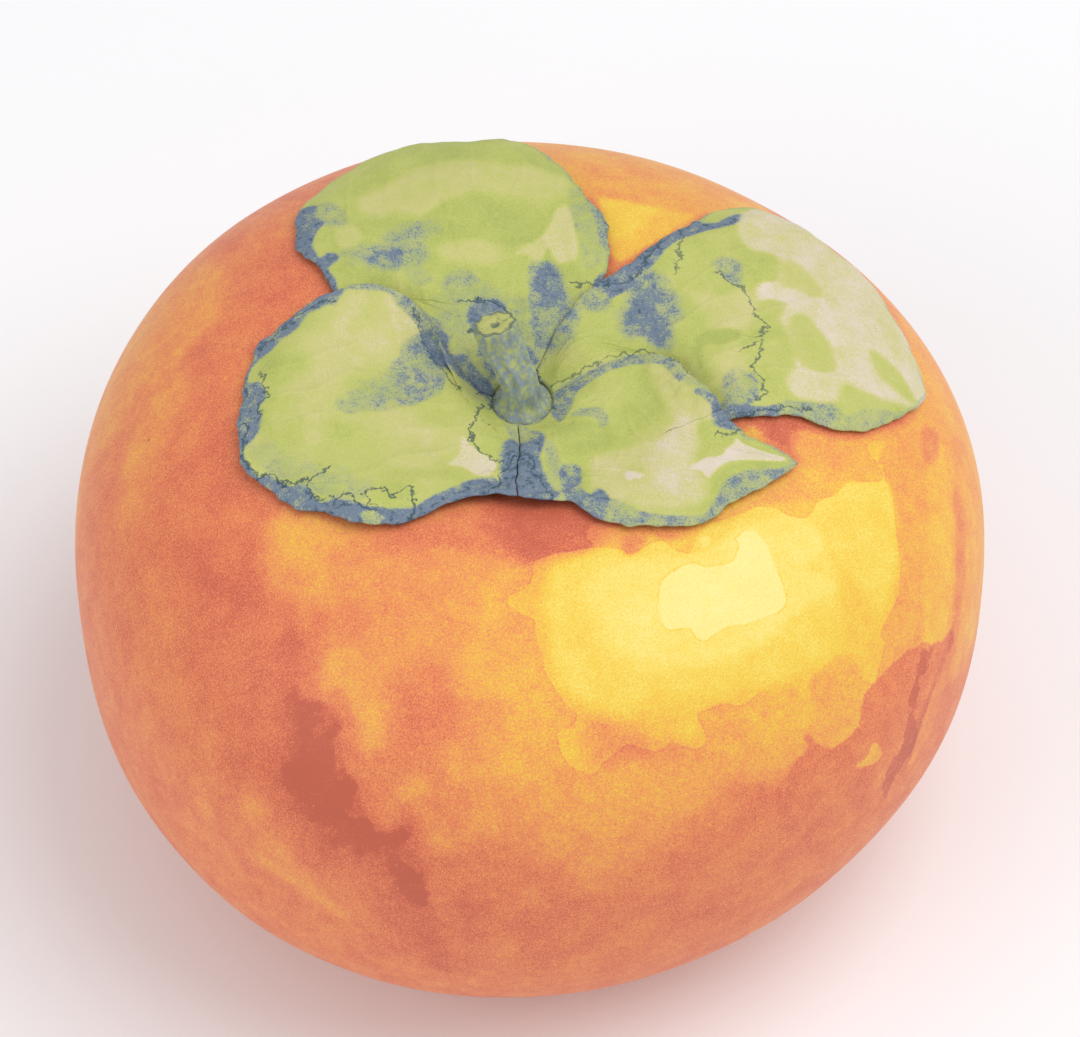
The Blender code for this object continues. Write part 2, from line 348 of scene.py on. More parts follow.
@dataclass(frozen=True)
class WaxyFruitSkin:
    """Ripe persimmon skin: thin, tight and waxed by the plant itself.

    One number, the ripeness, sets its colour, from cream to the rust of the ripest side. The gold and cream
    washes on the lit right shoulder are partly the fruit's own pale colour and partly painted highlight, and
    the red washes under the calyx's edges are painted shade. The pigment gathers in grains, so one tone never
    slides smoothly into the next. The flesh under it glows a little, so it has some subsurface light, and the
    wax spreads a highlight softly.
    """

    tones: tuple[str, ...] = (
        "#f9ea98",
        "#f6de72",
        "#f3d050",
        "#f2bf4e",
        "#f1ac56",
        "#ee9a5c",
        "#e9895d",
        "#e07a59",
        "#d26d53",
        "#c6644d",
    )
    # The gold and cream washes are partly painted highlight; the red wash is painted shade under the calyx.
    looks: tuple[EdgeLook, ...] = (
        EdgeLook(Tint.GOLD, -1.1, 0.15, 2.2, 1.5),
        EdgeLook(Tint.CREAM, -0.8, 0.16, 1.8, 1.3),
        EdgeLook(Tint.RED, 1.5, 0.5, 1.4, 0.5),
        EdgeLook(Tint.FLUSH, 2.3, 0.3, 1.4, 0.4),
        EdgeLook(Tint.ISLAND, -2.4, 0.15, 0.8),
        EdgeLook(Tint.RUDDY, 2.0, 0.6, 1.2),
    )
    hem_width: float = 0.13
    grain_size: float = 0.13
    grain: float = 7.4
    mottle_size: float = 3.6
    mottle: float = 5.6
    roughness: float = 0.45

    def lay_edge(self, tree: Tree, ripeness: Socket, look: EdgeLook) -> Socket:
        """Lay one sharp-edged wash over the ripeness, with a thin riper hem where its border is crisp.

        Args:
            tree: the material's nodes.
            ripeness: the ripeness below.
            look: the wash and how it lies.

        Returns:
            The ripeness with the wash on it.
        """
        depth = add_node(tree, "Attribute", output="Fac", attribute_name=look.tint.value)
        fade = add_node(tree, "Attribute", output="Fac", attribute_name=look.tint.value + "_fade")
        scope = add_node(tree, "Math", {0: fade, 1: 0.4, 2: look.stray}, operation="MULTIPLY_ADD")
        ragged = strayed(tree, depth, look.bend, scope, 6.0)
        outer = add_node(tree, "Math", {0: fade, 1: -1.0}, operation="MULTIPLY")
        feeds = {"Value": ragged, "From Min": outer, "From Max": fade, "To Max": look.shift}
        shift = add_node(tree, "MapRange", feeds, interpolation_type="SMOOTHSTEP")
        laid = add_node(tree, "Math", {0: ripeness, 1: shift}, operation="ADD")
        if not look.hem:
            return laid
        from_hem = add_node(tree, "Math", {0: ragged}, operation="ABSOLUTE")
        feeds = {"Value": from_hem, "From Min": self.hem_width, "From Max": 0.0, "To Max": look.hem}
        hem = add_node(tree, "MapRange", feeds, interpolation_type="SMOOTHSTEP")
        crisp = add_node(tree, "MapRange", {"Value": fade, "From Min": 0.45, "From Max": 0.2})
        hem = add_node(tree, "Math", {0: hem, 1: crisp}, operation="MULTIPLY")
        broken = patchy(tree, 2.4, 0.36, 0.56)
        return add_node(tree, "Math", {0: hem, 1: broken, 2: laid}, operation="MULTIPLY_ADD")

    def make(self) -> bpy.types.Material:
        """Build the finish.

        Returns:
            Its material.
        """
        material, tree = new_material("waxy_fruit_skin")
        # Besides the fruit's own colour, the ripeness carries painted highlight and painted shade in some of
        # its washes.
        ripeness = add_node(tree, "Attribute", output="Fac", attribute_name=Layer.RIPENESS.value)
        for look in self.looks:
            ripeness = self.lay_edge(tree, ripeness, look)
        # The pigment lies in cells a few hundredths of a millimetre wide. They are drawn as grains several
        # times coarser, or no picture of the whole fruit could show them.
        place = add_node(tree, "TexCoord", output="Object")
        feeds = {"Vector": place, "Scale": per_mm(self.grain_size), "Detail": 1.0, "Roughness": 0.6}
        grain = add_node(tree, "TexNoise", feeds)
        feeds = {"Vector": place, "Scale": per_mm(self.mottle_size), "Detail": 6.0, "Roughness": 0.78}
        mottle = add_node(tree, "TexNoise", feeds)
        middle = -(self.grain + self.mottle) / 2.0
        shift = add_node(tree, "Math", {0: grain, 1: self.grain, 2: middle}, operation="MULTIPLY_ADD")
        shift = add_node(tree, "Math", {0: mottle, 1: self.mottle, 2: shift}, operation="MULTIPLY_ADD")
        loose = {"Value": ripeness, "From Min": 0.5, "From Max": 4.0, "To Min": 0.3, "To Max": 1.0}
        loose = add_node(tree, "MapRange", loose)
        shown = add_node(tree, "Math", {0: shift, 1: loose, 2: ripeness}, operation="MULTIPLY_ADD")
        coats = []
        for level, tone in enumerate(self.tones[1:]):
            feeds = {"Value": shown, "From Min": float(level), "From Max": level + 1.0}
            coats.append((add_node(tree, "MapRange", feeds), tone))
        # Lenticels are the skin's pale breathing pores, between one and two millimetres apart.
        pores = add_node(tree, "TexVoronoi", {"Vector": place, "Scale": per_mm(1.7)}, "Distance")
        feeds = {"Value": pores, "From Min": 0.09, "From Max": 0.04, "To Max": 0.16}
        pore = add_node(tree, "MapRange", feeds, interpolation_type="SMOOTHSTEP")
        # A few brown flecks are scars, where a twig rubbed.
        scars = add_node(tree, "TexVoronoi", {"Vector": place, "Scale": per_mm(12.0)}, "Distance")
        feeds = {"Value": scars, "From Min": 0.022, "From Max": 0.012, "To Max": 0.55}
        scar = add_node(tree, "MapRange", feeds, interpolation_type="SMOOTHSTEP")
        coats += [(pore, "#f9dc9c"), (scar, "#8f4c33")]
        colour = lay_coats(tree, self.tones[0], coats)
        relief = add_node(tree, "Math", {0: pore, 1: -1.5, 2: mottle}, operation="MULTIPLY_ADD")
        bump = add_node(tree, "Bump", {"Strength": 0.12, "Distance": 0.3 * MM, "Height": relief})
        rough = add_node(tree, "Math", {0: mottle, 1: 0.2, 2: self.roughness - 0.1}, operation="MULTIPLY_ADD")
        feeds = {
            "Base Color": colour,
            "Roughness": rough,
            "Normal": bump,
            "IOR": 1.4,
            "Specular IOR Level": 0.27,
            "Subsurface Weight": 0.03,
            "Subsurface Radius": (1.0, 0.45, 0.2),
            "Subsurface Scale": 1.0 * MM,
            "Coat Weight": 0.03,
            "Coat Roughness": 0.3,
            "Coat IOR": 1.42,
        }
        finish_surface(tree, feeds)
        return material


@dataclass(frozen=True)
class LeatheryCalyx:
    """Persimmon calyx tissue: leaf green gone pale and papery in places, with grey-blue bloom and painted
    shade in its dents.

    Its cells are coarse and dry, so it scatters light evenly and hardly shines. The bloom is a powder that
    clings as grains, and dries to a thin dark line where it ends. Its grey-blue washes lie thickest in the
    creases, notches, dents and along the rim, where they are painted shade as well as bloom.
    """

    tones: tuple[str, ...] = ("#e0d3c2", "#cfc988", "#bec46c", "#aab461")
    bloom_and_shade_blue: str = "#6c7c98"
    haze_grey: str = "#82929a"
    slate: str = "#334e5c"
    grain_size: float = 0.16
    grain: float = 2.6
    wiggle: float = 0.6

    def bloom(self, tree: Tree, edge: Socket) -> Socket:
        """Gather the bloom and painted shade from its washes, and add painted shade along the rim.

        Args:
            tree: the material's nodes.
            edge: how far from the sepal's margin, in millimetres.

        Returns:
            The thickness, from none at 0 to a full cover at 1.
        """
        laid = add_node(tree, "Attribute", output="Fac", attribute_name=Layer.BLOOM.value)
        laid = strayed(tree, laid, 1.4, 0.16, 6.0)
        feeds = {"Value": strayed(tree, edge, 2.4, 0.4), "From Min": 0.6, "From Max": 0.2, "To Max": 0.4}
        rim_shade_and_bloom = add_node(tree, "MapRange", feeds, interpolation_type="SMOOTHSTEP")
        whole = add_node(tree, "Math", {0: laid, 1: rim_shade_and_bloom}, operation="MAXIMUM")
        uneven = patchy(tree, 1.2, 0.3, 0.7, 0.8, 6.0)
        uneven = add_node(tree, "Math", {0: uneven, 1: 0.6}, operation="ADD")
        return add_node(tree, "Math", {0: whole, 1: uneven}, operation="MULTIPLY")

    def drying_lines(self, tree: Tree) -> Socket:
        """Draw the thin, wiggling dark lines that the bloom leaves where it dried last.

        Args:
            tree: the material's nodes.

        Returns:
            How dark the line is.
        """
        side = add_node(tree, "Attribute", output="Fac", attribute_name="line")
        dark = add_node(tree, "Attribute", output="Fac", attribute_name="line_dark")
        from_line = strayed(tree, side, 1.0, self.wiggle, 4.0)
        from_line = add_node(tree, "Math", {0: from_line}, operation="ABSOLUTE")
        feeds = {"Value": from_line, "From Min": 0.17, "From Max": 0.05}
        line = add_node(tree, "MapRange", feeds, interpolation_type="SMOOTHSTEP")
        line = add_node(tree, "Math", {0: line, 1: dark}, operation="MULTIPLY")
        return add_node(tree, "Math", {0: line, 1: patchy(tree, 0.8, 0.3, 0.45)}, operation="MULTIPLY")

    def make(self) -> bpy.types.Material:
        """Build the finish.

        Returns:
            Its material.
        """
        material, tree = new_material("leathery_calyx")
        edge = add_node(tree, "Attribute", output="Fac", attribute_name="edge")
        vein = add_node(tree, "Attribute", output="Fac", attribute_name="vein")
        tone = add_node(tree, "Attribute", output="Fac", attribute_name=Layer.TONE.value)
        tone = strayed(tree, tone, 3.2, 0.6, 8.0)
        tone = add_node(tree, "Math", {0: vein, 1: -0.12, 2: tone}, operation="MULTIPLY_ADD")
        # The real grains are too fine to see. They are drawn a sixth of a millimetre wide.
        place = add_node(tree, "TexCoord", output="Object")
        feeds = {"Vector": place, "Scale": per_mm(self.grain_size), "Detail": 2.0, "Roughness": 0.7}
        grains = add_node(tree, "TexNoise", feeds)
        tone = add_node(tree, "Math", {0: grains, 1: self.grain, 2: tone}, operation="MULTIPLY_ADD")
        coats = []
        for level, code in enumerate(self.tones[1:]):
            start = level + self.grain / 2.0
            feeds = {"Value": tone, "From Min": start, "From Max": start + 1.0}
            coats.append((add_node(tree, "MapRange", feeds), code))
        # The bloom field is partly painted shade: its haze, dusted grains and clots darken the creases,
        # notches, dents and rims as shade as well as bloom.
        bloom = self.bloom(tree, edge)
        low = add_node(tree, "MapRange", {"Value": bloom, "To Min": 0.72, "To Max": 0.27})
        high = add_node(tree, "Math", {0: low, 1: 0.16}, operation="ADD")
        feeds = {"Value": grains, "From Min": low, "From Max": high, "To Max": 0.85}
        dusted = add_node(tree, "MapRange", feeds, interpolation_type="SMOOTHSTEP")
        haze = add_node(tree, "MapRange", {"Value": bloom, "From Min": 0.08, "From Max": 0.8, "To Max": 0.68})
        shade_and_clots = add_node(tree, "MapRange", {"Value": bloom, "From Min": 0.6, "From Max": 1.2})
        shade_and_clots = add_node(tree, "Math", {0: shade_and_clots, 1: patchy(tree, 0.5, 0.5, 0.62, 0.7)}, operation="MULTIPLY")
        lines = add_node(tree, "Math", {0: self.drying_lines(tree), 1: 0.8}, operation="MULTIPLY")
        coats += [(haze, self.haze_grey), (dusted, self.bloom_and_shade_blue), (shade_and_clots, self.slate), (lines, self.slate)]
        colour = lay_coats(tree, self.tones[0], coats)
        relief = patchy(tree, 1.6, 0.2, 0.8, 1.0, 6.0)
        relief = add_node(tree, "Math", {0: grains, 1: 0.2, 2: relief}, operation="MULTIPLY_ADD")
        relief = add_node(tree, "Math", {0: vein, 1: 0.35, 2: relief}, operation="MULTIPLY_ADD")
        bump = add_node(tree, "Bump", {"Strength": 0.3, "Distance": 0.2 * MM, "Height": relief})
        rough = add_node(tree, "Math", {0: dusted, 1: 0.2, 2: 0.6}, operation="MULTIPLY_ADD")
        feeds = {"Base Color": colour, "Roughness": rough, "Normal": bump}
        finish_surface(tree, {**feeds, "IOR": 1.4, "Specular IOR Level": 0.25})
        return material


@dataclass(frozen=True)
class CutTwig:
    """A green twig dried after it was cut: furrowed olive bark, dusted grey-blue, with a tan, cracked end."""

    bark: str = "#b4bc74"
    furrow: str = "#7f8c74"
    dust: str = "#8595ad"
    wood: str = "#bcbf74"
    crack: str = "#3c5362"

    def make(self) -> bpy.types.Material:
        """Build the finish.

        Returns:
            Its material.
        """
        material, tree = new_material("cut_twig")
        place = add_node(tree, "TexCoord", output="Object")
        stretched = add_node(tree, "Mapping", {"Vector": place, "Scale": (1.0, 1.0, 0.25)})
        feeds = {"Vector": stretched, "Scale": per_mm(0.9), "Detail": 5.0, "Roughness": 0.65}
        streaks = add_node(tree, "TexNoise", feeds)
        feeds = {"Value": streaks, "From Min": 0.5, "From Max": 0.38, "To Max": 0.7}
        furrows = add_node(tree, "MapRange", feeds, interpolation_type="SMOOTHSTEP")
        cut = add_node(tree, "Attribute", output="Fac", attribute_name="cut")
        end = add_node(tree, "MapRange", {"Value": cut, "From Min": 0.4, "From Max": 0.6})
        ring = strayed(tree, add_node(tree, "Attribute", output="Fac", attribute_name="ring"), 1.0, 0.22, 4.0)
        dark_parts = []
        for low, high in ((0.78, 0.9), (0.26, 0.14)):
            feeds = {"Value": ring, "From Min": low, "From Max": high, "To Max": 0.7}
            part = add_node(tree, "MapRange", feeds)
            dark_parts.append(add_node(tree, "Math", {0: part, 1: end}, operation="MULTIPLY"))
        split = add_node(tree, "Math", {0: patchy(tree, 0.7, 0.58, 0.64, 0.4), 1: end}, operation="MULTIPLY")
        dusted = patchy(tree, 0.5, 0.34, 0.62, 0.85, 8.0)
        coats = [(furrows, self.furrow), (dusted, self.dust), (end, self.wood)]
        coats += [(part, self.crack) for part in (*dark_parts, split)]
        colour = lay_coats(tree, self.bark, coats)
        bump = add_node(tree, "Bump", {"Strength": 0.6, "Distance": 0.2 * MM, "Height": streaks})
        feeds = {"Base Color": colour, "Roughness": 0.8, "Normal": bump, "Specular IOR Level": 0.25}
        finish_surface(tree, feeds)
        return material


@dataclass(frozen=True)
class DriedStyle:
    """The flower's style, shrivelled to a black-brown, brittle point."""

    brown: str = "#3a241a"
    tan: str = "#7d5a3c"

    def make(self) -> bpy.types.Material:
        """Build the finish.

        Returns:
            Its material.
        """
        material, tree = new_material("dried_style")
        flakes = patchy(tree, 0.35, 0.5, 0.7, 0.8, 4.0)
        colour = lay_coats(tree, self.brown, [(flakes, self.tan)])
        bump = add_node(tree, "Bump", {"Strength": 0.5, "Distance": 0.1 * MM, "Height": flakes})
        finish_surface(tree, {"Base Color": colour, "Roughness": 0.75, "Normal": bump})
        return material


@dataclass(frozen=True)
class PaintedBoard:
    """Matt white paint on a smooth board: even, pale and without a reflection."""

    white: str = "#fbfcfe"

    def make(self) -> bpy.types.Material:
        """Build the finish.

        Returns:
            Its material.
        """
        material, tree = new_material("painted_board")
        finish_surface(tree, {"Base Color": linear(self.white), "Roughness": 0.9, "Specular IOR Level": 0.1})
        return material


@dataclass
class FruitForm:
    """The fruit's shape: where each place on its skin lies."""

    girth_radius: float = 38.75
    half_height: float = 26.0
    squareness: float = 2.5
    crown_depth: float = 6.5
    crown_radius: float = 12.5
    base_depth: float = 1.8
    base_radius: float = 4.0
    base_cut: float = 0.4
    bulge_count: int = 3
    bulge: float = 0.018
    bulge_bearing: float = 7.0
    unevenness: float = 0.2
    unevenness_size: float = 14.0
    pucker: float = 0.16
    pucker_count: int = 8
    pucker_reach: float = 3.2
    pucker_width: float = 1.4
    samples: int = 4000

    def __post_init__(self) -> None:
        """Work out the profile from the middle of the crown to the middle of the base."""
        turn = np.linspace(0.0, math.pi, self.samples)
        power = 2.0 / self.squareness
        self.swells = np.sin(turn)
        self.radii = self.girth_radius * self.swells**power
        height = self.half_height * np.sign(np.cos(turn)) * np.abs(np.cos(turn)) ** power
        hollow = np.exp(-((self.radii / self.crown_radius) ** 2)) * self.crown_depth
        dimple = np.exp(-((self.radii / self.base_radius) ** 2)) * self.base_depth
        height = np.where(turn < math.pi / 2, height - hollow, height + dimple)
        height += self.half_height - self.base_cut
        self.heights = np.maximum(height, 0.0)
        steps = np.hypot(np.diff(self.radii), np.diff(height))
        self.reaches = np.concatenate([[0.0], np.cumsum(steps)])
        self.outward = np.gradient(self.radii, self.reaches)
        self.upward = np.gradient(height, self.reaches)
        bearings = np.linspace(0.0, 2.0 * math.pi, 721)
        outline = self.girth_radius * self.bulges(bearings, np.ones_like(bearings))
        x, y = outline * np.cos(bearings), outline * np.sin(bearings)
        self.middle = np.array([(x.min() + x.max()) / 2.0, (y.min() + y.max()) / 2.0, 0.0])

    @property
    def length(self) -> float:
        """The whole way along the skin from the crown to the base."""
        return float(self.reaches[-1])

    def bulges(self, bearing: np.ndarray, swell: np.ndarray) -> np.ndarray:
        """How much wider or narrower than round the fruit is in each direction."""
        turned = self.bulge_count * (bearing - math.radians(self.bulge_bearing))
        return 1.0 + self.bulge * swell * np.cos(turned)

    def facing(self, reach: np.ndarray, bearing: np.ndarray) -> np.ndarray:
        """Find the directions in which the skin faces.

        Args:
            reach: how far along the skin from the crown.
            bearing: the direction, in radians.

        Returns:
            Rows of x, y, z, each one long.
        """
        outward = np.interp(reach, self.reaches, self.outward)
        upward = np.interp(reach, self.reaches, self.upward)
        return np.stack([-upward * np.cos(bearing), -upward * np.sin(bearing), outward], axis=-1)

    def raised(self, reach: np.ndarray, bearing: np.ndarray, rise: np.ndarray | float) -> np.ndarray:
        """Find where places on the smooth skin lie.

        Args:
            reach: how far along the skin from the crown.
            bearing: the direction, in radians.
            rise: how far off the skin.

        Returns:
            Rows of x, y, z.
        """
        swell = np.interp(reach, self.reaches, self.swells)
        radius = np.interp(reach, self.reaches, self.radii) * self.bulges(bearing, swell)
        height = np.interp(reach, self.reaches, self.heights)
        points = np.stack([radius * np.cos(bearing), radius * np.sin(bearing), height], axis=-1)
        return points + self.facing(reach, bearing) * np.reshape(rise, (-1, 1)) - self.middle

    def points(self, reach: np.ndarray, bearing: np.ndarray, rise: np.ndarray | float = 0.0) -> np.ndarray:
        """Where places on the real, slightly uneven skin lie.

        Args:
            reach: how far along the skin from the crown.
            bearing: the direction, in radians.
            rise: how far off the skin.

        Returns:
            Rows of x, y, z.
        """
        smooth = self.raised(reach, bearing, 0.0)
        above_rest = smooth_step(0.2, 5.0, smooth[:, 2])
        uneven = self.unevenness * lumps(smooth, self.unevenness_size) * above_rest
        from_base = self.length - reach
        folds = np.cos(self.pucker_count * bearing + 2.0 * lumps(smooth, 5.0, 7.0))
        near_base = np.exp(-(((from_base - self.pucker_reach) / self.pucker_width) ** 2))
        puckers = self.pucker * (folds - 1.0) * near_base
        placed = self.raised(reach, bearing, rise + uneven + puckers)
        placed[:, 2] = np.maximum(placed[:, 2], 0.0)
        return placed


@dataclass(frozen=True)
class PictureView:
    """The camera that sees what the picture shows, and finds where its pixels lie on the fruit."""

    width: int = 1080
    height: int = 1037
    elevation: float = 52.0
    distance: float = 500.0
    lens: float = 195.0
    sensor: float = 36.0
    aim: tuple[float, float, float] = (0.82, 3.01, 27.76)
    chart_size: float = 72.0
    chart_step: float = 3.0
    least_facing: float = 0.15
    search_steps: int = 12

    @property
    def back(self) -> np.ndarray:
        """The direction from what it looks at to the camera."""
        tilt = math.radians(self.elevation)
        return np.array([0.0, -math.cos(tilt), math.sin(tilt)])

    def project(self, points: np.ndarray) -> np.ndarray:
        """Find the pixels at which points appear.

        Args:
            points: rows of x, y, z.

        Returns:
            Rows of x, y in the picture.
        """
        offset = points - np.array(self.aim)
        right = np.array([1.0, 0.0, 0.0])
        up = np.cross(self.back, right)
        scale = self.lens / self.sensor * self.width / (self.distance - offset @ self.back)
        x = self.width / 2.0 + offset @ right * scale
        y = self.height / 2.0 - offset @ up * scale
        return np.stack([x, y], axis=-1)

    def find(self, pixels: np.ndarray, form: FruitForm, rise: Rise) -> np.ndarray:
        """Find the points of the flat skin that appear at these pixels.

        Args:
            pixels: rows of x, y in the picture.
            form: the fruit.
            rise: gives, for a reach, how far off the skin the surface is.

        Returns:
            Rows of x, y on the skin laid flat.
        """

        def seen(flat: np.ndarray) -> np.ndarray:
            """The pixels of points of the flat skin."""
            reach, bearing = np.hypot(*flat.T), np.arctan2(flat[:, 1], flat[:, 0])
            return self.project(form.raised(reach, bearing, rise(reach)))

        lines = np.arange(-self.chart_size, self.chart_size, self.chart_step)
        chart = np.stack(np.meshgrid(lines, lines), axis=-1).reshape(-1, 2)
        facing = form.facing(np.hypot(*chart.T), np.arctan2(chart[:, 1], chart[:, 0])) @ self.back
        chart = chart[facing > self.least_facing]
        gaps = np.linalg.norm(pixels[:, None, :] - seen(chart)[None, :, :], axis=-1)
        flat = chart[np.argmin(gaps, axis=1)]
        nudge = 0.01
        for _ in range(self.search_steps):
            now = seen(flat)
            east = (seen(flat + [nudge, 0.0]) - now) / nudge
            north = (seen(flat + [0.0, nudge]) - now) / nudge
            step = np.linalg.solve(np.stack([east, north], axis=-1), (pixels - now)[..., None])[..., 0]
            size = np.maximum(np.hypot(*step.T), 1e-9)[:, None]
            flat = flat + step * np.minimum(1.0, self.chart_step / size)
        return flat


@dataclass(frozen=True)
class Wash:
    """One wash of paint, as the picture shows it: what it is laid in, its level there, and its brim.

    Each point of the brim is a pixel of the picture and how softly the wash ends there, in millimetres. A
    wash on the side that the picture doesn't show has a reach and a bearing in place of the pixel.
    """

    name: str
    where: Layer | Tint
    level: float
    brim: str
    seen: bool


def listed(text: str) -> list[list[str]]:
    """The rows of a written list, as the cells that bars part. An indented line goes on with its row."""
    return [row.split(" | ") for row in text.strip().replace("\n  ", " ").splitlines()]


def read_washes(text: str) -> tuple[Wash, ...]:
    """Read a written list of washes.

    Args:
        text: for each its name, what it is laid in and at what level, its brim, and "unseen" where the
            picture doesn't show it. Only a layer has a level.

    Returns:
        The washes, in the order in which they lie.
    """
    kinds = {kind.value: kind for kind in (*Layer, *Tint)}
    washes = []
    for name, laid, brim, *unseen in listed(text):
        where, *level = laid.split()
        washes.append(Wash(name, kinds[where], float(level[0]) if level else 1.0, brim, not unseen))
    return tuple(washes)


def read_marks(trace: str) -> np.ndarray:
    """Turn a trace into rows of x, y and a third number.

    Args:
        trace: points parted by spaces, each with its numbers parted by commas. A point with only two numbers
            keeps the third from the point before it.

    Returns:
        One row for each point.
    """
    rows = []
    for point in trace.split():
        numbers = [float(number) for number in point.split(",")]
        rows.append(numbers if len(numbers) == 3 else [*numbers, rows[-1][2]])
    return np.array(rows)


@dataclass
class Paintwork:
    """The washes and lines on one surface, laid on the flat skin and read at any point of it."""

    washes: tuple[Wash, ...]
    lines: tuple[str, ...]
    view: PictureView
    form: FruitForm
    rise: Rise
    farthest: float = 9.0
    line_reach: float = 2.0
    line_margin: float = 2.5

    def __post_init__(self) -> None:
        """Carry every brim and every path from the picture to the flat skin."""
        self.borders = [smooth_curve(self.laid(wash.brim, wash.seen), closed=True) for wash in self.washes]
        self.paths = [smooth_curve(self.laid(line)) for line in self.lines]

    def laid(self, trace: str, seen: bool = True) -> np.ndarray:
        """Lay one trace on the flat skin.

        Args:
            trace: its points.
            seen: whether they are pixels of the picture.

        Returns:
            Rows of x, y on the flat skin and the trace's third number.
        """
        rows = read_marks(trace)
        if seen:
            flat = self.view.find(rows[:, :2], self.form, self.rise)
        else:
            flat = flat_points(rows[:, 0], np.radians(rows[:, 1]))
        return np.column_stack([flat, rows[:, 2]])

    def read(self, points: np.ndarray, ground: dict[Layer, float]) -> dict[str, np.ndarray]:
        """Read the washes at points of the flat skin.

        Args:
            points: rows of x, y.
            ground: each soft layer's level where nothing is laid.

        Returns:
            Each layer's level, and for each tint how deep inside it a point lies and how softly it ends.
        """
        fields = {layer.value: np.full(len(points), level) for layer, level in ground.items()}
        laid = {wash.where for wash in self.washes}
        for tint in (tint for tint in Tint if tint in laid):
            fields[tint.value] = np.full(len(points), -self.farthest)
            fields[tint.value + "_fade"] = np.ones(len(points))
        for wash, border in zip(self.washes, self.borders, strict=True):
            sharp = isinstance(wash.where, Tint)
            near = self.within(points, border, self.farthest if sharp else border[:, 2].max())
            if not len(near):
                continue
            LOG.debug("%s: over %d points", wash.name, len(near))
            depth, fade = read_border(points[near], border)
            level = fields[wash.where.value]
            if sharp:
                deeper = depth > level[near]
                level[near[deeper]] = depth[deeper]
                fields[wash.where.value + "_fade"][near[deeper]] = fade[deeper]
            else:
                level[near] += (wash.level - level[near]) * smooth_step(-1.0, 1.0, depth / fade)
        return fields

    def read_lines(self, points: np.ndarray) -> dict[str, np.ndarray]:
        """Read the lines at points of the flat skin.

        Args:
            points: rows of x, y.

        Returns:
            How far each point is to the left of the nearest line, and how dark that line is.
        """
        left, nearest = np.full(len(points), self.farthest), np.full(len(points), self.farthest)
        dark = np.zeros(len(points))
        for path in self.paths:
            near = self.within(points, path, self.line_margin)
            if not len(near):
                continue
            distance, side, shade = self.beside(points[near], path)
            closer = distance < nearest[near]
            for kept, values in ((nearest, distance), (left, side), (dark, shade)):
                kept[near[closer]] = values[closer]
        return {"line": left, "line_dark": dark * (nearest < self.line_reach)}

    @staticmethod
    def within(points: np.ndarray, line: np.ndarray, margin: float) -> np.ndarray:
        """Which points lie in the box round a line, with this margin."""
        low, high = line[:, :2].min(axis=0) - margin, line[:, :2].max(axis=0) + margin
        return np.flatnonzero(np.all((points > low) & (points < high), axis=1))

    @staticmethod
    def beside(points: np.ndarray, path: np.ndarray) -> tuple[np.ndarray, np.ndarray, np.ndarray]:
        """Measure points against a path.

        Args:
            points: rows of x, y.
            path: rows of x, y and a third number.

        Returns:
            How far each point is from the path, how far to its left, and the third number nearest to it.
        """
        nearest = np.full(len(points), np.inf)
        left, shade = np.zeros(len(points)), np.zeros(len(points))
        for (*start, dark), (*end, _) in zip(path[:-1], path[1:], strict=True):
            run = np.array(end) - start
            length = max(float(np.hypot(*run)), 1e-9)
            along = run / length
            offset = points - start
            ahead = np.clip(offset @ along, 0.0, length)
            distance = np.hypot(*(offset - ahead[:, None] * along).T)
            closer = distance < nearest
            nearest[closer] = distance[closer]
            left[closer] = (offset @ np.array([-along[1], along[0]]))[closer]
            shade[closer] = dark
        return nearest, left, shade


@dataclass(frozen=True)
class Unevenness:
    """Random lumps: how far apart they are, how strong, and a seed for each direction in which they push."""

    size: float
    strength: float
    seeds: tuple[float, ...]

    def push(self, points: np.ndarray) -> np.ndarray:
        """How far the lumps push each point, with a column for each seed."""
        return self.strength * np.stack([lumps(points, self.size, seed) for seed in self.seeds], axis=-1)


@dataclass(frozen=True)
class Margin:
    """One side of a sepal: the crease it shares, its free edge outward, and how it meets its neighbour."""

    crease: tuple[Place, ...]
    edge: tuple[Place, ...]
    ridge: float
    lap: float = 0.0


BACK_LEFT_CREASE: tuple[Place, ...] = (
    (2.9, 180),
    (5.4, 160),
    (8.2, 150),
    (11.2, 142),
    (13.6, 141),
    (15.9, 145),
    (17.9, 151),
)
FRONT_CREASE: tuple[Place, ...] = ((2.9, 262), (6.3, 268), (10.1, 268), (13.0, 268))
RIGHT_FRONT_CREASE: tuple[Place, ...] = (
    (2.9, 17),
    (6.2, 17),
    (10.4, 16),
    (13.2, 8),
    (15.2, 354),
    (17.2, 345),
)
RIGHT_BACK_CREASE: tuple[Place, ...] = ((2.9, 72), (5.4, 66), (8.9, 63), (12.9, 59))


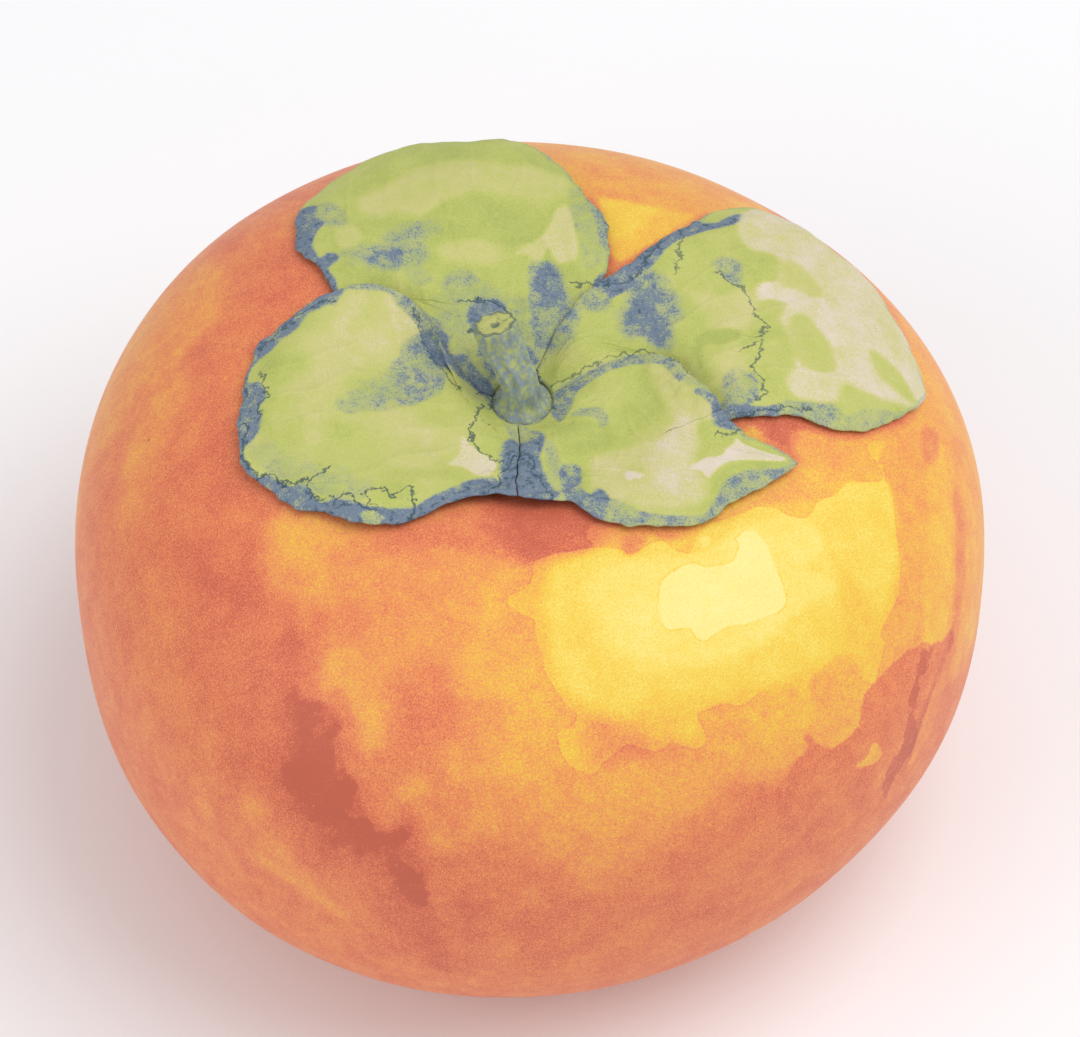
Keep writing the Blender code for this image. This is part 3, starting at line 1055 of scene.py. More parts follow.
@dataclass
class SepalShape:
    """One lobe of the calyx, from the stem out to its tip. Left and right are as seen looking outward."""

    name: str
    left: Margin
    tip: Place
    right: Margin
    tip_lift: float
    edge_lift: float
    seed: float
    columns: int = 128
    rows: int = 170
    crease_share: float = 8.0 / 18.0
    gap: float = 0.08
    stand_off: float = 0.14
    disc_rise: float = 1.3
    seat_inner: float = 6.9
    seat_outer: float = 11.5
    thickness: float = 1.1
    lip_thickness: float = 0.34
    vein_offsets: tuple[float, ...] = (-0.66, -0.34, 0.02, 0.36, 0.7)
    vein_width: float = 0.22
    crease_middle: float = 0.36
    crease_spread: float = 0.2
    ridge_width: float = 2.3
    curl_width: float = 2.4
    lip_roll: float = 0.08
    lip_width: float = 0.7
    lip_radius: float = 0.4
    least_half: float = 0.03
    dent_depth: float = 0.15
    vein_height: float = 0.07
    bends: tuple[Unevenness, ...] = (
        Unevenness(4.2, 0.5, (3.0, 19.0)),
        Unevenness(1.2, 0.24, (31.0, 47.0)),
        Unevenness(0.55, 0.07, (13.0, 83.0)),
    )
    swells: tuple[Unevenness, ...] = (
        Unevenness(6.5, 0.36, (11.0,)),
        Unevenness(2.8, 0.15, (23.0,)),
        Unevenness(0.9, 0.035, (37.0,)),
    )

    def side_line(self, margin: Margin, inward: float) -> np.ndarray:
        """Lay out one side on the flat skin, moved over or away from the crease that it shares.

        Args:
            margin: the side's places.
            inward: 1 when the sepal lies anticlockwise of this side, or -1.

        Returns:
            One point for each row, from the stem to the tip.
        """
        crease_rows = round(self.rows * self.crease_share)
        crease = spaced(smooth_curve(flat_places(margin.crease), steps=24), crease_rows + 1)
        free = smooth_curve(flat_places((margin.crease[-1], *margin.edge, self.tip)), steps=24)
        line = np.concatenate([crease, spaced(free, self.rows - crease_rows + 1)[1:]])
        ahead = np.gradient(line, axis=0)
        normal = np.stack([-ahead[:, 1], ahead[:, 0]], axis=-1) * inward
        normal /= np.hypot(*normal.T)[:, None]
        shift = self.gap / 2.0 - margin.lap * self.in_crease(np.linspace(0.0, 1.0, self.rows + 1))
        return line + normal * shift[:, None]

    def in_crease(self, along: np.ndarray) -> np.ndarray:
        """How fully a margin stands up as a ridge at this share of the sepal's length."""
        return np.exp(-(((along - self.crease_middle) / self.crease_spread) ** 2))

    def layout(self, along: np.ndarray, side: np.ndarray) -> tuple[np.ndarray, np.ndarray]:
        """Spread the sepal's grid over the flat skin.

        Args:
            along: shares of the way from the stem to the tip.
            side: -1 on the left margin to 1 on the right.

        Returns:
            The points of the flat skin, and half the sepal's width at each.
        """
        stations = np.arange(self.rows + 1)
        left, right = (
            np.stack([np.interp(along * self.rows, stations, column) for column in line.T], axis=-1)
            for line in (self.side_line(self.left, -1.0), self.side_line(self.right, 1.0))
        )
        share = (side + 1.0) / 2.0
        left_bearing = np.arctan2(left[:, 1], left[:, 0])
        turn = (np.arctan2(right[:, 1], right[:, 0]) - left_bearing) % (2.0 * math.pi) - 2.0 * math.pi
        reach = np.hypot(*left.T) * (1.0 - share) + np.hypot(*right.T) * share
        round_base = flat_points(reach, left_bearing + turn * share)
        straight = left + (right - left) * share[:, None]
        blend = smooth_step(0.0, 0.3, along)[:, None]
        points = self.wander(round_base * (1.0 - blend) + straight * blend)
        return points, np.hypot(*(right - left).T) / 2.0

    def wander(self, points: np.ndarray) -> np.ndarray:
        """Bend the flat layout a little, the same for neighbours, so that no margin is ruled.

        Args:
            points: rows of x, y.

        Returns:
            The bent rows.
        """
        spots = np.column_stack([points, np.zeros(len(points))])
        grown = smooth_step(4.0, 10.0, np.hypot(*points.T))[:, None]
        return points + sum(bend.push(spots) for bend in self.bends) * grown

    def outline(self) -> np.ndarray:
        """Trace the sepal's whole border on the flat skin.

        Returns:
            Rows of x, y and a width of one, in order.
        """
        along = np.linspace(0.0, 0.99, 130)
        inner = np.linspace(-1.0, 1.0, 20)[1:-1]
        left, _ = self.layout(along, np.full_like(along, -1.0))
        right, _ = self.layout(along, np.full_like(along, 1.0))
        base, _ = self.layout(np.zeros_like(inner), inner)
        rows = np.concatenate([left, right[::-1], base[::-1]])
        return np.column_stack([rows, np.ones(len(rows))])

    def seat(self, reach: np.ndarray) -> np.ndarray:
        """How far off the skin the sepal's underside lies, up on the disc or down on the shoulder."""
        return self.stand_off + self.disc_rise * (1.0 - smooth_step(self.seat_inner, self.seat_outer, reach))

    def veins(
        self, spots: np.ndarray, along: np.ndarray, side: np.ndarray, half_width: np.ndarray
    ) -> np.ndarray:
        """Draw the veins, which fan out from the stem and fade towards the tip.

        Args:
            spots: points of the flat skin, with the sepal's seed as their height.
            along: shares of the way from the stem to the tip.
            side: -1 on the left margin to 1 on the right.
            half_width: half the sepal's width at each point.

        Returns:
            How much of a vein runs through each point.
        """
        sway = side + 0.12 * lumps(spots, 5.5, 53.0) + 0.05 * lumps(spots, 1.8, 61.0)
        width = np.maximum(half_width, 1.0)
        vein = np.zeros(len(spots))
        for offset in self.vein_offsets:
            bent = offset * (0.55 + 0.45 * along)
            vein = np.maximum(vein, np.exp(-(((sway - bent) * width / self.vein_width) ** 2)))
        return vein * smooth_step(0.05, 0.2, along) * (1.0 - smooth_step(0.66, 0.95, along))

    def relief(
        self,
        points: np.ndarray,
        along: np.ndarray,
        side: np.ndarray,
        half_width: np.ndarray,
        bloom: np.ndarray,
    ) -> dict[str, np.ndarray]:
        """Work out the sepal's relief.

        Args:
            points: points of the flat skin.
            along: shares of the way from the stem to the tip.
            side: -1 on the left margin to 1 on the right.
            half_width: half the sepal's width at each point.
            bloom: how much bloom and painted shade is laid there.

        Returns:
            The height of its middle layer, half its thickness, how far its margin is, and its veins.
        """
        spots = np.column_stack([points, np.full(len(points), self.seed)])
        reach = np.hypot(*points.T)
        edge = np.maximum(read_border(points, self.outline())[0], 0.0)
        ridges = self.left.ridge * np.exp(-(((1.0 + side) * half_width / self.ridge_width) ** 2))
        ridges += self.right.ridge * np.exp(-(((1.0 - side) * half_width / self.ridge_width) ** 2))
        free = smooth_step(0.42, 0.7, along)
        curl = (0.55 + 0.9 * lumps(spots, 5.5, 5.0)) * free * np.exp(-((edge / self.curl_width) ** 2))
        lift = self.tip_lift * smooth_step(0.5, 1.0, along) + self.edge_lift * curl
        roll = -self.lip_roll * np.exp(-((edge / self.lip_width) ** 2)) * free
        away = smooth_step(3.5, 9.0, reach)
        swell = sum(lump.push(spots)[:, 0] for lump in self.swells) * away
        swell -= self.dent_depth * np.clip(bloom, 0.0, 1.0) * smooth_step(1.0, 3.0, edge)
        vein = self.veins(spots, along, side, half_width) * smooth_step(0.4, 1.6, edge)
        body = self.lip_thickness + (self.thickness - self.lip_thickness) * smooth_step(0.0, 3.2, edge)
        rounding = np.sqrt(1.0 - (1.0 - np.clip(edge / self.lip_radius, 0.0, 1.0)) ** 2)
        # The underside lies flat on what is below it, so the lip is thin from the top down.
        middle = self.seat(reach) + body / 2.0 + ridges * self.in_crease(along) + lift + roll
        middle += np.maximum(swell, -0.3) * smooth_step(0.0, 2.0, edge)
        return {
            "middle": middle + self.vein_height * vein,
            "half": np.maximum(body / 2.0 * rounding, self.least_half),
            "edge": edge,
            "vein": vein,
        }


@dataclass
class PieceMaker:
    """Writes finished meshes as pieces of the persimmon that ride on its body."""

    form: FruitForm = field(default_factory=FruitForm)
    view: PictureView = field(default_factory=PictureView)

    def piece(self, name: str, node: str, sheet: Sheet, material: bpy.types.Material, slot: Slot) -> None:
        """Make an object from a mesh and put it in the place of its solid.

        Args:
            name: the piece's name.
            node: the solid that it replaces.
            sheet: its mesh, in metres. It is freed.
            material: its finish.
            slot: the record's slot for that finish.
        """
        mesh = bpy.data.meshes.new(name)
        sheet.to_mesh(mesh)
        sheet.free()
        mesh.shade_smooth()
        mesh.materials.append(material)
        made = bpy.data.objects.new(name, mesh)
        bpy.context.scene.collection.objects.link(made)
        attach(made, BODY)
        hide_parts(node)
        LOG.info("%s: %d faces, in place of %s", name, len(mesh.polygons), node)

    @staticmethod
    def ball(rings: int, sides: int) -> tuple[Sheet, np.ndarray, np.ndarray]:
        """Start a closed round body.

        Args:
            rings: how many steps it has from top to bottom.
            sides: how many it has around.

        Returns:
            The mesh, each of its points' steps from the top, and each one's bearing in radians.
        """
        sheet = bmesh.new()
        bmesh.ops.create_uvsphere(sheet, u_segments=sides, v_segments=rings, radius=1.0)
        places = np.array([vertex.co[:] for vertex in sheet.verts])
        polar = np.arccos(np.clip(places[:, 2], -1.0, 1.0))
        return sheet, np.round(polar / math.pi * rings), np.arctan2(places[:, 1], places[:, 0])

    @staticmethod
    def move(sheet: Sheet, points: np.ndarray) -> None:
        """Move every point of a mesh to its place.

        Args:
            sheet: the mesh.
            points: a row of x, y, z for each point, in millimetres.
        """
        for vertex, point in zip(sheet.verts, points * MM, strict=True):
            vertex.co = point
        bmesh.ops.recalc_face_normals(sheet, faces=sheet.faces)

    @staticmethod
    def write_fields(sheet: Sheet, fields: dict[str, np.ndarray]) -> None:
        """Store values on a mesh, for its material to read.

        Args:
            sheet: the mesh.
            fields: for each name, a value for each point.
        """
        for name, values in fields.items():
            layer = sheet.verts.layers.float.new(name)
            for vertex, value in zip(sheet.verts, values.tolist(), strict=True):
                vertex[layer] = value


# What the picture shows on the skin, in the order in which it lies.
# The sunny wash, cream light, cream fleck, sunny yellow, paler yellow in its middle and honey light round the
# sun are partly painted highlight on the lit right shoulder. The red under the front tip, red in the right
# notch, rose shade under the calyx, shade under the front notch and red-orange in the left notch are painted
# shade under the calyx's edges.
SKIN_WASHES = """
honey over the right shoulder | ripeness 4.4 | 34,6,1.5 36,20,2 40,33,2.5 47,36,3 54,24 57,8 55,-8,2.5
  52,-20,2 48,-25,1.5 44,-20,1 39,-10 35,-4 | unseen
yellow-orange shoulder under the left lobe | ripeness 5.2 | 165,385,1.5 185,370 178,410 160,450 150,500
  128,510,1.2 120,480 135,430
light beside the left lobe's tip | ripeness 5 | 170,345,1 195,310 215,300 212,325 190,345 172,370
red-orange left side | ripeness 6.9 | 225,400,1.5 245,455,1.2 275,495 270,530,1.5 262,560 275,595 300,620,1.2
  310,660,1 300,700 330,760 370,815 420,860,1.5 440,900,2 470,955 400,955 360,900,2.5 310,860 270,815
  235,770,3 215,700 195,640 175,590 165,550 185,500 200,440,2
red-orange in the left notch | ripeness 6.8 | 250,290,0.8 275,255 300,235 325,250 328,285 305,298 270,305
pale run low on the left | ripeness 5.3 | 255,845,1.2 275,835 300,860 320,890 350,920 330,915 290,885 262,870
pale spot on the left | ripeness 5.4 | 195,790,1 215,795 212,820 198,812
second pale spot on the left | ripeness 5.4 | 240,800,1 268,800 270,822 245,818
dark fleck high on the left | ripeness 7.4 | 212,580,1 235,588 258,600 250,615 235,640 225,635 228,605
  210,595
dark fleck below it | ripeness 7.4 | 220,662,0.8 238,668 240,685 225,690
dark fleck low on the left | ripeness 7.2 | 228,738,1 248,748 255,775 240,782 228,760
halo of the ruddy run | ripeness 7.8 | 290,630,0.6 305,650 300,700 318,700 340,722 345,760 358,790 378,828
  410,822 420,860 435,890 440,930 455,965,1.5 430,965 425,925 395,900 370,880 345,850 330,850 300,820 282,790
  275,765 285,740 280,700 275,655
amber light between the ruddy run and the sun | ripeness 5 | 262,535,1.5 300,512,1 360,525 375,545,1.5
  440,535,2 500,560,1 540,600,1.5 560,760,2 640,840 600,880 570,885,1.5 520,845,2 470,850 430,820,1.2
  400,790,1 370,745,0.8 355,700 335,665 322,690 318,640,1 300,605 275,590,1.5
brighter amber high on it | ripeness 4.3 | 275,525,1 300,515 345,520 345,545 330,560 330,580 315,600 300,595
  298,570 285,550
rose patch in the amber | ripeness 6.1 | 395,670,1.2 440,665 455,700 452,735 430,760 405,770 390,740 398,700
rose patch at its left | ripeness 6.1 | 300,610,1 330,600 365,612 360,640 335,650 312,640
rose shade under the calyx | ripeness 6.2 | 375,530,0.8 420,525 470,520 500,540 470,548 420,545 385,550
rose run low in the amber | ripeness 6.2 | 360,760,0.8 400,750 440,770 470,800 460,830 430,815 405,790
  380,790
rose spot at the left lobe | ripeness 6.1 | 330,500,0.8 350,512 345,520 320,515
yellow light along the ruddy run | ripeness 4.2 | 330,655,0.8 355,650 375,690 378,740 365,755 355,720 345,690
  325,690
yellow spot low on it | ripeness 4.6 | 400,785,0.8 425,775 430,790 400,800
yellow spot below that | ripeness 4.8 | 430,835,0.8 455,840 455,855 435,852
honey light beside the sun | ripeness 4.1 | 470,590,1.8 500,570 530,560 560,650 590,770 560,800 520,790
  500,760 480,720 460,690 465,640
honey light round the sun | ripeness 4 | 600,540,1 700,520,0.5 740,490,0.4 780,478 800,460 790,445
  800,430,0.3 850,440 900,425 930,415 948,440 957,520 958,580 952,645 940,670 928,705 915,740 905,765,0.5
  865,790,1 830,825,2 800,830 780,790,1.5 740,775 690,750 600,700,2
amber light below the sun | ripeness 4.4 | 560,770,1.5 640,755 740,750 800,760 790,775 740,775 720,800
  690,820 650,840 600,830 560,815 530,800
rose foot under the amber | ripeness 6.6 | 430,870,2 480,850 540,860 600,880 560,900 600,950 520,960 440,950
rosier foot beside it | ripeness 7 | 450,900,1.2 465,895 480,905 478,925 460,930 450,918
sunny yellow | ripeness 2.9 | 545,570,1 600,550,0.5 700,530,0.4 760,505 820,500 850,480,0.3 890,485,0.4
  896,560,0.5 880,620,0.8 850,650,1 800,672,1.2 740,690,1.5 690,700 600,712 565,690,1 548,640,0.8
paler yellow in its middle | ripeness 2.2 | 590,600,1.2 600,565,1 650,560,0.8 700,552,0.4 740,530,0.3
  790,515,0.4 820,530 822,550 805,570,0.8 832,580,0.6 830,592,0.5 800,612,0.6 770,640,0.8 720,662,1
  650,668,1.2 605,640
honey tongue above the sun | ripeness 3.8 | 838,478,0.25 840,462 855,450,0.3 866,452,0.2 878,466 881,480
  860,481
honey tongue into the sun | ripeness 3.6 | 840,560,0.4 850,575,0.8 870,600 875,640,0.6 850,655,0.8
  842,620,0.6 839,590,0.3
honey at the right | ripeness 4.2 | 897,440,0.6 925,440 927,520 926,600 912,650 890,660 896,600 902,560
  898,500
lighter honey at the far right | ripeness 3.5 | 927,470,0.5 948,475 952,540 950,600 940,640 925,650 922,600
  928,540
coral fleck at the right | ripeness 6 | 922,430,0.4 936,432 938,458 925,462
coral strip at the right edge | ripeness 5.5 | 953,500,0.3 962,505 962,600 954,602
light rim at the lower right | ripeness 5.3 | 958,600,0.4 955,650 940,700,0.5 925,740 905,775,0.6 915,730,0.4
  930,690 945,650
honey beside the front tip | ripeness 3.9 | 700,520,0.5 712,470 735,435 762,430 762,470 745,500 735,520
yellow in the back notch | ripeness 3 | 596,184,0.3 622,186 700,204 690,222 650,246 617,262 604,225
bright yellow in the back notch | ripeness 2.2 | 598,188,0.3 620,190 660,198 655,215 628,235 612,240 604,208
sunny wash | gold | 533,563,0.15 533,575 525,588 510,596 508,604,0.3 522,616 533,622,0.15 536,640,0.12
  541,655 548,675 557,692 567,706 575,712 576,720 570,727 557,731 560,748 566,762 577,770 592,776 604,764
  618,752 629,745 640,749 660,750 670,744 690,750 697,750 706,743 703,730 697,716 705,710 727,704
  740,706,0.15 758,695,0.3 778,683,0.4 795,690,0.5 808,700 812,680,0.4 830,665 845,655 872,685 880,670,0.15
  886,645 882,635 885,622 896,605 900,585 900,560 896,530 892,500 885,470 880,455 888,443 875,440,0.12
  867,450 878,466,0.15 881,480 865,481 848,482 835,495 818,500 812,512 800,518 780,510 760,505 740,512,0.12
  720,520,0.15 700,530 690,552 672,547 664,540 648,543 632,554,0.12 620,548,0.15 590,548 560,552 545,556
cream light | cream | 742,532,0.12 752,530 762,537 768,545 773,560 782,580 787,600 783,608 775,615 762,618
  748,624 735,625 722,630 712,636 703,641 696,638 690,630,0.2 682,628 668,631 660,618 658,600 660,585 670,572
  690,563,0.12 705,566 720,565 732,560 738,548 735,538
cream fleck | cream | 700,537,0.12 712,537 704,550
red under the front tip | red | 487,492,0.4 520,500,0.3 570,495 605,503 625,520,0.15 605,523 588,530
  592,545,0.12 580,548 560,552 545,556 533,563 520,560,0.5 500,545,0.9 482,515
red shade right of it | ripeness 5.5 | 637,520,0.4 685,520 683,535 668,540 650,535 645,545 630,555 622,548
  628,530
red in the right notch | red | 748,415,0.2 790,415,0.3 803,420,0.8 800,435,0.5 790,446,0.2 770,440 757,430
flush at the lower right | flush | 952,626,0.15 940,642 920,645 905,655 890,668 880,680 865,697 862,712
  857,730 845,742 830,748 815,740 804,733 808,750,0.2 795,762,0.5 780,790,1.5 800,830,2 830,825 865,790,1
  905,765,0.5 915,740,0.4 928,705 940,670 952,645,0.3
ruddy run | ruddy | 296,705,1.5 305,700,1.2 318,700,0.9 322,712 312,730,0.5 320,735 330,725 340,722,0.4
  336,738,0.25 332,745 338,770 340,782 345,775 355,790 353,802 345,806 350,815 362,815 372,822 378,832
  392,830 405,823 408,830 400,848,0.5 390,852,0.8 385,850 365,852 350,848 336,846 338,825 325,825 312,815,1
  300,808 292,790 285,770 295,750 300,730
ruddy run's end | ruddy | 390,855,0.4 402,862,0.25 410,872 420,868 424,885 428,900 418,905,0.6 405,895,0.8
  395,880 388,868
ruddy streak in the flush | ruddy | 918,660,0.2 910,700 905,722 903,740 897,755 888,765 883,780 880,797
  885,795 893,780 905,760 913,745 917,722 912,715 918,700 920,680 928,665 935,650 925,648
shade under the front notch | ripeness 6.6 | 495,500,0.8 535,510 542,545 530,562 508,545
light islands in the flush | island | 873,744,0.12 876,741 879,745 882,752 880,758 873,764 866,766 860,768
  858,763 868,757 870,750
small light island | island | 853,768,0.12 850,776 847,772
last light island | island | 822,797,0.12 825,800 822,806 820,801
thin veil on the sun's hem | ripeness 4.4 | 697,716,0.15 705,710 727,704 745,712,0.3 742,740 720,742
  706,743,0.15 703,730
amber behind the back notch | ripeness 4.4 | 22,92,0.6 27,96,0.8 33,93,1.2 38,97,1.8 43,88,2.2 41,76,2
  46,68,2.5 43,56,2 37,52,1.5 34,44 29,48,1 25,56,0.6 23,70,0.4 | unseen
gold on the back | ripeness 4.7 | 44,122,2.5 50,116,3 58,120,3.5 63,132,4 60,144 52,148,3 46,140,2.5 43,130,2
  | unseen
flush on the back | ripeness 6.9 | 50,48,2 46,60,1.5 49,72,1.8 46,84,1.5 53,92 57,101,2 66,96,3 73,84,4 72,66
  66,54,3 58,46 | unseen
red run on the back | ripeness 7.8 | 52,64,1 56,74 60,78,1.5 66,76 64,68 58,62,1.2 | unseen
honey run on the back | ripeness 5.3 | 47,99,2 53,104,2.5 60,104,3 66,108 64,98 56,94,2.5 | unseen
glow on the left of the back | ripeness 5 | 30,150,2 36,175,2.5 52,182,3 60,160 46,144,2 | unseen
"""
